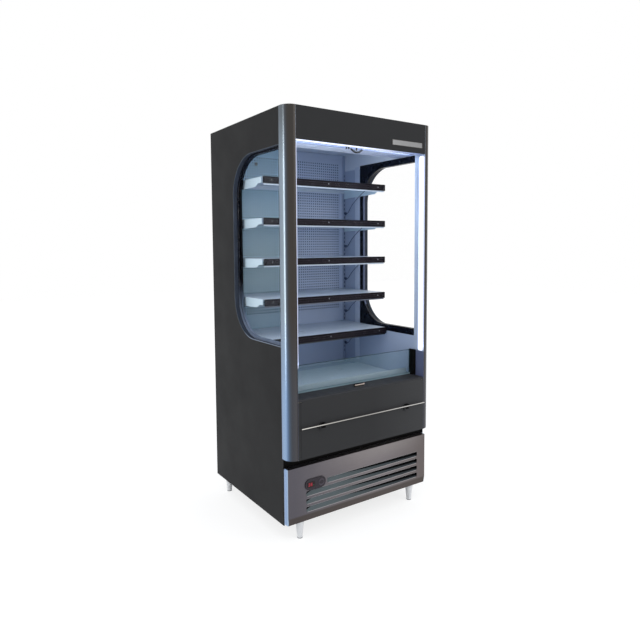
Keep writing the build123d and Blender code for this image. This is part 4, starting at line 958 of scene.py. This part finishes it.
class FRIDGE_OT_grille_lips(bpy.types.Operator):
    """Rolled lips along the louvre slots, pale as a painted highlight, and baffles behind them in the louvre paint
    with its painted light and shade
    """
    bl_idname = "fridge.grille_lips"
    bl_label = "Louvre slot lips"

    def execute(self, context):
        lips, baffles = bmesh.new(), bmesh.new()
        for number in range(4):
            top = (SLOT_TOP - number * LOUVRE_PITCH) * 1000
            left = -337 if number else -217  # the first slot stops beside the controller
            add_block(baffles, at(left - 4, 46.4, top - 15), at(380, 47.4, top - 0.5))
            add_block(lips, at(left + 6, 26.2, top - 25.8), at(370, 27.6, top - 23.7), 0.0005, 1)
            add_block(lips, at(left + 6, 26.6, top - 0.1), at(370, 27.6, top + 0.7), 0.0003, 1)
        finish_piece(lips, "louvre_slot_lips", "bright lip")
        finish_piece(baffles, "louvre_rear_baffles", "louvre")
        return {"FINISHED"}


class FRIDGE_OT_front_cover(bpy.types.Operator):
    """Front cover sheet, header lip, post end caps, and seat and rim of the curtain catch"""
    bl_idname = "fridge.front_cover"
    bl_label = "Front cover and post caps"

    def execute(self, context):
        cover = sheet_outline(at(-380, -1.6, 405), at(380, -1.6, 677), "Y", ((2, 1),), 0.014)
        thicken(cover, (0, 0.0016, 0))
        soften(finish_piece(cover, "front_cover_sheet", "front", weld=True), 0.0006)
        low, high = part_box("header_fascia")
        lip = bmesh.new()
        add_block(lip, (low.x + 0.0005, low.y + 0.0004, low.z - 0.0034),
                  (high.x - 0.0005, low.y + 0.0019, low.z + 0.0006), 0.0004)
        finish_piece(lip, "header_lower_lip", "panel")
        caps = bmesh.new()
        for side in SIDES:
            left, right = sorted(side * x for x in POST_CAP_X)
            for z in POST_CAP_LEVELS:
                low, high = at(left, POST_CAP_Y[0], z[0]), at(right, POST_CAP_Y[1], z[0])
                flat = sheet_outline(low, high, "Z")
                corner = [vert for vert in flat.verts if abs(vert.co.x) > 0.42 and vert.co.y < low.y + 0.01]
                bmesh.ops.bevel(flat, geom=corner, offset=0.0465, segments=14, profile=0.5,
                                affect="VERTICES", material=-1)
                join(caps, thicken(flat, (0, 0, (z[1] - z[0]) / 1000)))
        finish_piece(caps, "post_end_caps", "seal", weld=True)
        seat, pins = bmesh.new(), bmesh.new()
        add_block(seat, at(-34, 42, 684.9), at(34, 67, 686.2), 0.0005)
        add_block(seat, at(-27, 50, 686.8), at(28, 58, 698.5), 0.0015)
        add_block(pins, at(-31, 45.6, 689), at(29, 49.8, 693.4), 0.0012)
        add_block(pins, at(26, 49, 690), at(31, 57, 695.6), 0.0012)
        finish_piece(seat, "catch_seat", "seal")
        finish_piece(pins, "catch_rim", "catch rim")
        return {"FINISHED"}


class FRIDGE_OT_curtain(bpy.types.Operator):
    """Hanging stretch of the night curtain's cloth, and the sleeves on its grip"""
    bl_idname = "fridge.curtain"
    bl_label = "Night curtain"

    def execute(self, context):
        low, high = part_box("curtain_cloth")
        size, middle = high - low, (low + high) / 2
        bm = bmesh.new()
        bmesh.ops.create_grid(bm, x_segments=44, y_segments=26, size=0.5,
                              matrix=upright(middle, size.x, size.z))
        cloth = finish_piece(bm, "curtain_sheet", "cloth", None, smooth=True)
        wall = cloth.modifiers.new("cloth thickness", "SOLIDIFY")
        wall.thickness = 0.0005
        wall.offset = 0
        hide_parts("curtain_cloth")
        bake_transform(cloth)
        sleeve = bmesh.new()
        place = Matrix.Translation(at(-GRIP_HALF, GRIP_DEPTH, GRIP_TOP))
        place = place @ Matrix.Rotation(math.pi / 2 + GRIP_TURN, 4, "Y")
        bmesh.ops.create_circle(sleeve, segments=14, radius=GRIP_WIDTH / 2, matrix=place)
        centre = at(0, GRIP_DEPTH, GRIP_TOP + GRIP_RADIUS - GRIP_SAG)
        bmesh.ops.spin(sleeve, geom=sleeve.edges[:], cent=centre, axis=(0, -1, 0), angle=2 * GRIP_TURN, steps=30)
        bmesh.ops.holes_fill(sleeve, edges=[edge for edge in sleeve.edges if edge.is_boundary])
        finish_piece(sleeve, "curtain_grip_sleeve", "grip", "curtain", smooth=True)
        pegs = bmesh.new()
        for x in GRIP_PEGS:
            add_rod(pegs, at(x, GRIP_DEPTH, GRIP_TOP - 3.5), at(x, GRIP_DEPTH, GRIP_TOP + 5.6), 0.0038, 16)
        finish_piece(pegs, "curtain_peg_sleeves", "grip", "curtain")
        return {"FINISHED"}


class FRIDGE_OT_leads(bpy.types.Operator):
    """Leads from the shelf lamps to their sockets"""
    bl_idname = "fridge.leads"
    bl_label = "Lamp leads"

    def execute(self, context):
        _, sizes, _ = settings()
        sockets = bmesh.new()
        for number in range(1, 6):
            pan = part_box(f"shelf_{number}")
            top = pan[1].z * 1000
            run_z = top - 5.5
            socket_z = top - SOCKET_DROP
            start_y = (pan[0].y - POSTS_FRONT) * 1000 + 17.5
            route = [at(LEAD_START_X, start_y, run_z)]
            route += [at(LEAD_START_X, LEAD_BEND_Y + y, run_z - drop) for y, drop in LEAD_RUN]
            turn_x, turn_y, turn_drop = LEAD_TURN
            route.append(at(turn_x, LEAD_BEND_Y + turn_y, run_z - turn_drop))
            route += [at(SOCKET_X, y, socket_z) for y in (654, 670)]
            line = bpy.data.curves.new(f"lamp_lead_{number}", "CURVE")
            line.dimensions = "3D"
            spline = line.splines.new("NURBS")
            spline.points.add(len(route) - 1)
            for point, place in zip(spline.points, route):
                point.co = (*place, 1)
            spline.order_u = 3
            spline.use_endpoint_u = True
            spline.resolution_u = 8
            line.bevel_depth = sizes.lead_width / 2
            line.bevel_resolution = 2
            line.use_fill_caps = True
            line.materials.append(FINISHES["lead"])
            lead = bpy.data.objects.new(f"lamp_lead_{number}", line)
            context.scene.collection.objects.link(lead)
            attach(lead, "cabinet")
            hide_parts("shelf_lamp_leads")
            add_block(sockets, at(385.5, 672, socket_z - 8), at(394, 684, socket_z + 8), 0.0022, 3)
            add_rod(sockets, at(SOCKET_X, 663, socket_z), at(SOCKET_X, 671, socket_z), 0.0034)
        case = finish_piece(sockets, "lamp_sockets", "socket")
        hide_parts("shelf_lamp_leads")
        return {"FINISHED"}


class FRIDGE_OT_controller(bpy.types.Operator):
    """Display lens, digits and status lamp of the controller"""
    bl_idname = "fridge.controller"
    bl_label = "Controller display"

    def execute(self, context):
        _, sizes, _ = settings()
        low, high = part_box("controller_housing")
        face_y, middle_z, left = low.y, (low.z + high.z) / 2, low.x + 0.014
        lens = sheet_outline((left - 0.004, face_y + 0.0004, middle_z - 0.0125),
                             (left + 0.040, face_y + 0.0004, middle_z + 0.0135), "Y", ((2, 1), (2, -1)), 0.006)
        thicken(lens, (0, -0.0009, 0))
        finish_piece(lens, "display_lens", "dark lens", weld=True)
        high, wide, stroke = sizes.digit_height, sizes.digit_height * 0.55, 0.0019
        low_z = middle_z - high / 2 + 0.0005
        bars = {"top": (0, high - stroke, wide, high), "middle": (0, (high - stroke) / 2, wide, (high + stroke) / 2),
                "low": (0, 0, wide, stroke), "left upper": (0, high / 2, stroke, high),
                "left lower": (0, 0, stroke, high / 2), "right upper": (wide - stroke, high / 2, wide, high),
                "right lower": (wide - stroke, 0, wide, high / 2)}
        digits = bmesh.new()
        three, eight = ("top", "middle", "low", "right upper", "right lower"), tuple(bars)
        for place, lit in enumerate((three, eight)):
            x = left + 0.003 + place * (wide + 0.0045)
            for key in lit:
                x0, z0, x1, z1 = bars[key]
                add_block(digits, (x + x0, face_y - 0.0009, low_z + z0),
                          (x + x1, face_y - 0.0004, low_z + z1), 0.0003, 1)
        finish_piece(digits, "display_digits", "red digits")
        bm = bmesh.new()
        add_block(bm, (left + 0.030, face_y - 0.0008, low_z + 0.001), (left + 0.035, face_y, low_z + 0.004), 0.0004)
        finish_piece(bm, "status_lamp", "green lamp")
        return {"FINISHED"}


class FRIDGE_OT_foot_rings(bpy.types.Operator):
    """Collar and rubber pad of each levelling foot"""
    bl_idname = "fridge.foot_rings"
    bl_label = "Foot collars and pads"

    def execute(self, context):
        for place in ("front_left", "front_right", "rear_left", "rear_right"):
            low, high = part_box(f"foot_{place}")
            middle = (low + high) / 2
            for name, z, radius, finish in (("collar", (0.0775, 0.0835), 0.0207, "foot"),
                                            ("pad", (0.0003, 0.0050), 0.0134, "foot pad")):
                bm = bmesh.new()
                add_rod(bm, (middle.x, middle.y, z[0]), (middle.x, middle.y, z[1]), radius, 40)
                soften(finish_piece(bm, f"foot_{name}_{place}", finish, f"foot_{place}"), 0.0012, 3)
        return {"FINISHED"}


class FRIDGE_OT_badge_rim(bpy.types.Operator):
    """Raised rim and pins of the bare header plate"""
    bl_idname = "fridge.badge_rim"
    bl_label = "Header plate rim"

    def execute(self, context):
        low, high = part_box("badge_plate")
        bm = sheet_outline(low, (high.x, low.y, high.z), "Y", ((2, 1), (2, -1)), 0.003)
        keep_rim(bm, 0.0018)
        thicken(bm, (0, -0.0006, 0))
        finish_piece(bm, "header_plate_rim", "badge rim", weld=True)
        bm = bmesh.new()
        for x in (low.x + 0.007, high.x - 0.007):
            add_dome(bm, (x, low.y, (low.z + high.z) / 2), 0.0022, 0.0008, (0, -1, 0))
        finish_piece(bm, "header_plate_pins", "screw")
        return {"FINISHED"}


class FRIDGE_OT_studio(bpy.types.Operator):
    """Camera, light and pale floor"""
    bl_idname = "fridge.studio"
    bl_label = "Studio"

    def execute(self, context):
        colours, _, studio = settings()
        scene = context.scene
        yaw, pitch, roll = studio.camera_turn
        forward = Vector((math.sin(yaw) * math.cos(pitch), math.cos(yaw) * math.cos(pitch), -math.sin(pitch)))
        right = Vector((math.cos(yaw), -math.sin(yaw), 0))
        down = forward.cross(right)
        right, down = (math.cos(roll) * right + math.sin(roll) * down,
                       math.cos(roll) * down - math.sin(roll) * right)
        lens = bpy.data.cameras.new("photo camera")
        lens.lens = studio.lens
        lens.sensor_width = 36
        lens.shift_y = studio.shift_y
        lens.clip_end = 60
        camera = bpy.data.objects.new("photo camera", lens)
        axes = Matrix((right, -down, -forward)).transposed().to_4x4()
        camera.matrix_world = Matrix.Translation(Vector(studio.camera_at)) @ axes
        scene.collection.objects.link(camera)
        scene.camera = camera

        world = bpy.data.worlds.new("studio world")
        scene.world = world
        world.use_nodes = True
        sky = Nodes(world.node_tree)
        even = sky.tree.nodes["Background"]
        sky.feed(even, {"Color": (0.94, 0.97, 1.0, 1), "Strength": studio.ambient})
        white = sky.add("Background", {"Color": (1, 1, 1, 1), "Strength": 1.0})
        path = sky.add("LightPath", {}).outputs
        seen = sky.math("MAXIMUM", path["Is Camera Ray"], path["Is Glossy Ray"])
        seen = sky.math("MAXIMUM", seen, path["Is Transmission Ray"])
        mix = sky.add("MixShader", {"Fac": seen, 1: even.outputs[0], 2: white.outputs[0]})
        sky.feed(sky.tree.nodes["World Output"], {"Surface": mix.outputs[0]})

        bm = bmesh.new()
        bmesh.ops.create_grid(bm, x_segments=1, y_segments=1, size=14.0)
        mesh = bpy.data.meshes.new("studio floor")
        bm.to_mesh(mesh)
        bm.free()
        pale = bpy.data.materials.new("studio floor")
        pale.use_nodes = True
        ground = Nodes(pale.node_tree)
        ground.tree.nodes.remove(ground.tree.nodes["Principled BSDF"])
        matte = ground.add("BsdfDiffuse", {"Color": (0.93, 0.93, 0.93, 1)})
        lit = ground.add("Emission", {"Strength": 1.25})
        path = ground.add("LightPath", {}).outputs
        seen = ground.math("MAXIMUM", path["Is Camera Ray"], path["Is Glossy Ray"])
        share = ground.times(seen, 0.62)
        mix = ground.add("MixShader", {"Fac": share, 1: matte.outputs[0], 2: lit.outputs[0]})
        ground.feed(ground.tree.nodes["Material Output"], {"Surface": mix.outputs[0]})
        mesh.materials.append(pale)
        floor = bpy.data.objects.new("studio floor", mesh)
        scene.collection.objects.link(floor)

        glow = tuple(colours.lamp)
        strip = (0.04, 0.98)
        for name, place, aim, size, power, colour in (
                ("left softbox", (-3.4, 0.10, 1.35), (0, 0.0, 1.35), (0.50, 2.5), 15, (0.97, 0.98, 1.0)),
                ("front softbox", (1.6, -3.6, 2.6), (0, 0, 1.0), (2.2, 2.2), 26, (1.0, 1.0, 1.0)),
                ("canopy light", at(0, 60, 1856), (0, 0.12, 1.2), (0.72, 0.05), studio.canopy_light, glow),
                ("left post light", at(-384, 24, 1335), (0.2, 0.2, 1.30), strip, studio.post_light, glow),
                ("right post light", at(384, 24, 1335), (-0.2, 0.2, 1.30), strip, studio.post_light, glow)):
            lamp = bpy.data.lights.new(name, "AREA")
            lamp.shape = "RECTANGLE"
            lamp.size, lamp.size_y = size
            lamp.energy = power
            lamp.color = colour
            holder = bpy.data.objects.new(name, lamp)
            holder.location = place
            toward = Vector(aim) - Vector(place)
            holder.rotation_euler = toward.to_track_quat("-Z", "Y").to_euler()
            holder.visible_camera = False
            scene.collection.objects.link(holder)

        scene.view_settings.view_transform = "Standard"
        return {"FINISHED"}


class FRIDGE_PT_panel(bpy.types.Panel):
    bl_label = "Open Display Fridge"
    bl_idname = "FRIDGE_PT_panel"
    bl_space_type = "VIEW_3D"
    bl_region_type = "UI"
    bl_category = "Fridge"

    def draw(self, context):
        for group in settings():
            box = self.layout.box()
            for key in group.__annotations__:
                box.prop(group, key)
        for operator in OPERATORS:
            self.layout.operator(operator.bl_idname)


GROUPS = (FridgeColours, FridgeSizes, FridgeStudio)
OPERATORS = (FRIDGE_OT_finishes, FRIDGE_OT_rear_sheet, FRIDGE_OT_ticket_strips, FRIDGE_OT_windows,
             FRIDGE_OT_interior_trims, FRIDGE_OT_grille_lips, FRIDGE_OT_front_cover, FRIDGE_OT_curtain,
             FRIDGE_OT_leads, FRIDGE_OT_controller, FRIDGE_OT_foot_rings, FRIDGE_OT_badge_rim,
             FRIDGE_OT_studio)


def register():
    for cls in (*GROUPS, *OPERATORS, FRIDGE_PT_panel):
        bpy.utils.register_class(cls)
    bpy.types.Scene.fridge_colours = PointerProperty(type=FridgeColours)
    bpy.types.Scene.fridge_sizes = PointerProperty(type=FridgeSizes)
    bpy.types.Scene.fridge_studio = PointerProperty(type=FridgeStudio)


def unregister():
    del bpy.types.Scene.fridge_studio
    del bpy.types.Scene.fridge_sizes
    del bpy.types.Scene.fridge_colours
    for cls in reversed((*GROUPS, *OPERATORS, FRIDGE_PT_panel)):
        bpy.utils.unregister_class(cls)


def main():
    register()
    for operator in OPERATORS:
        group, name = operator.bl_idname.split(".")
        getattr(getattr(bpy.ops, group), name)()


if __name__ == "__main__":
    main()
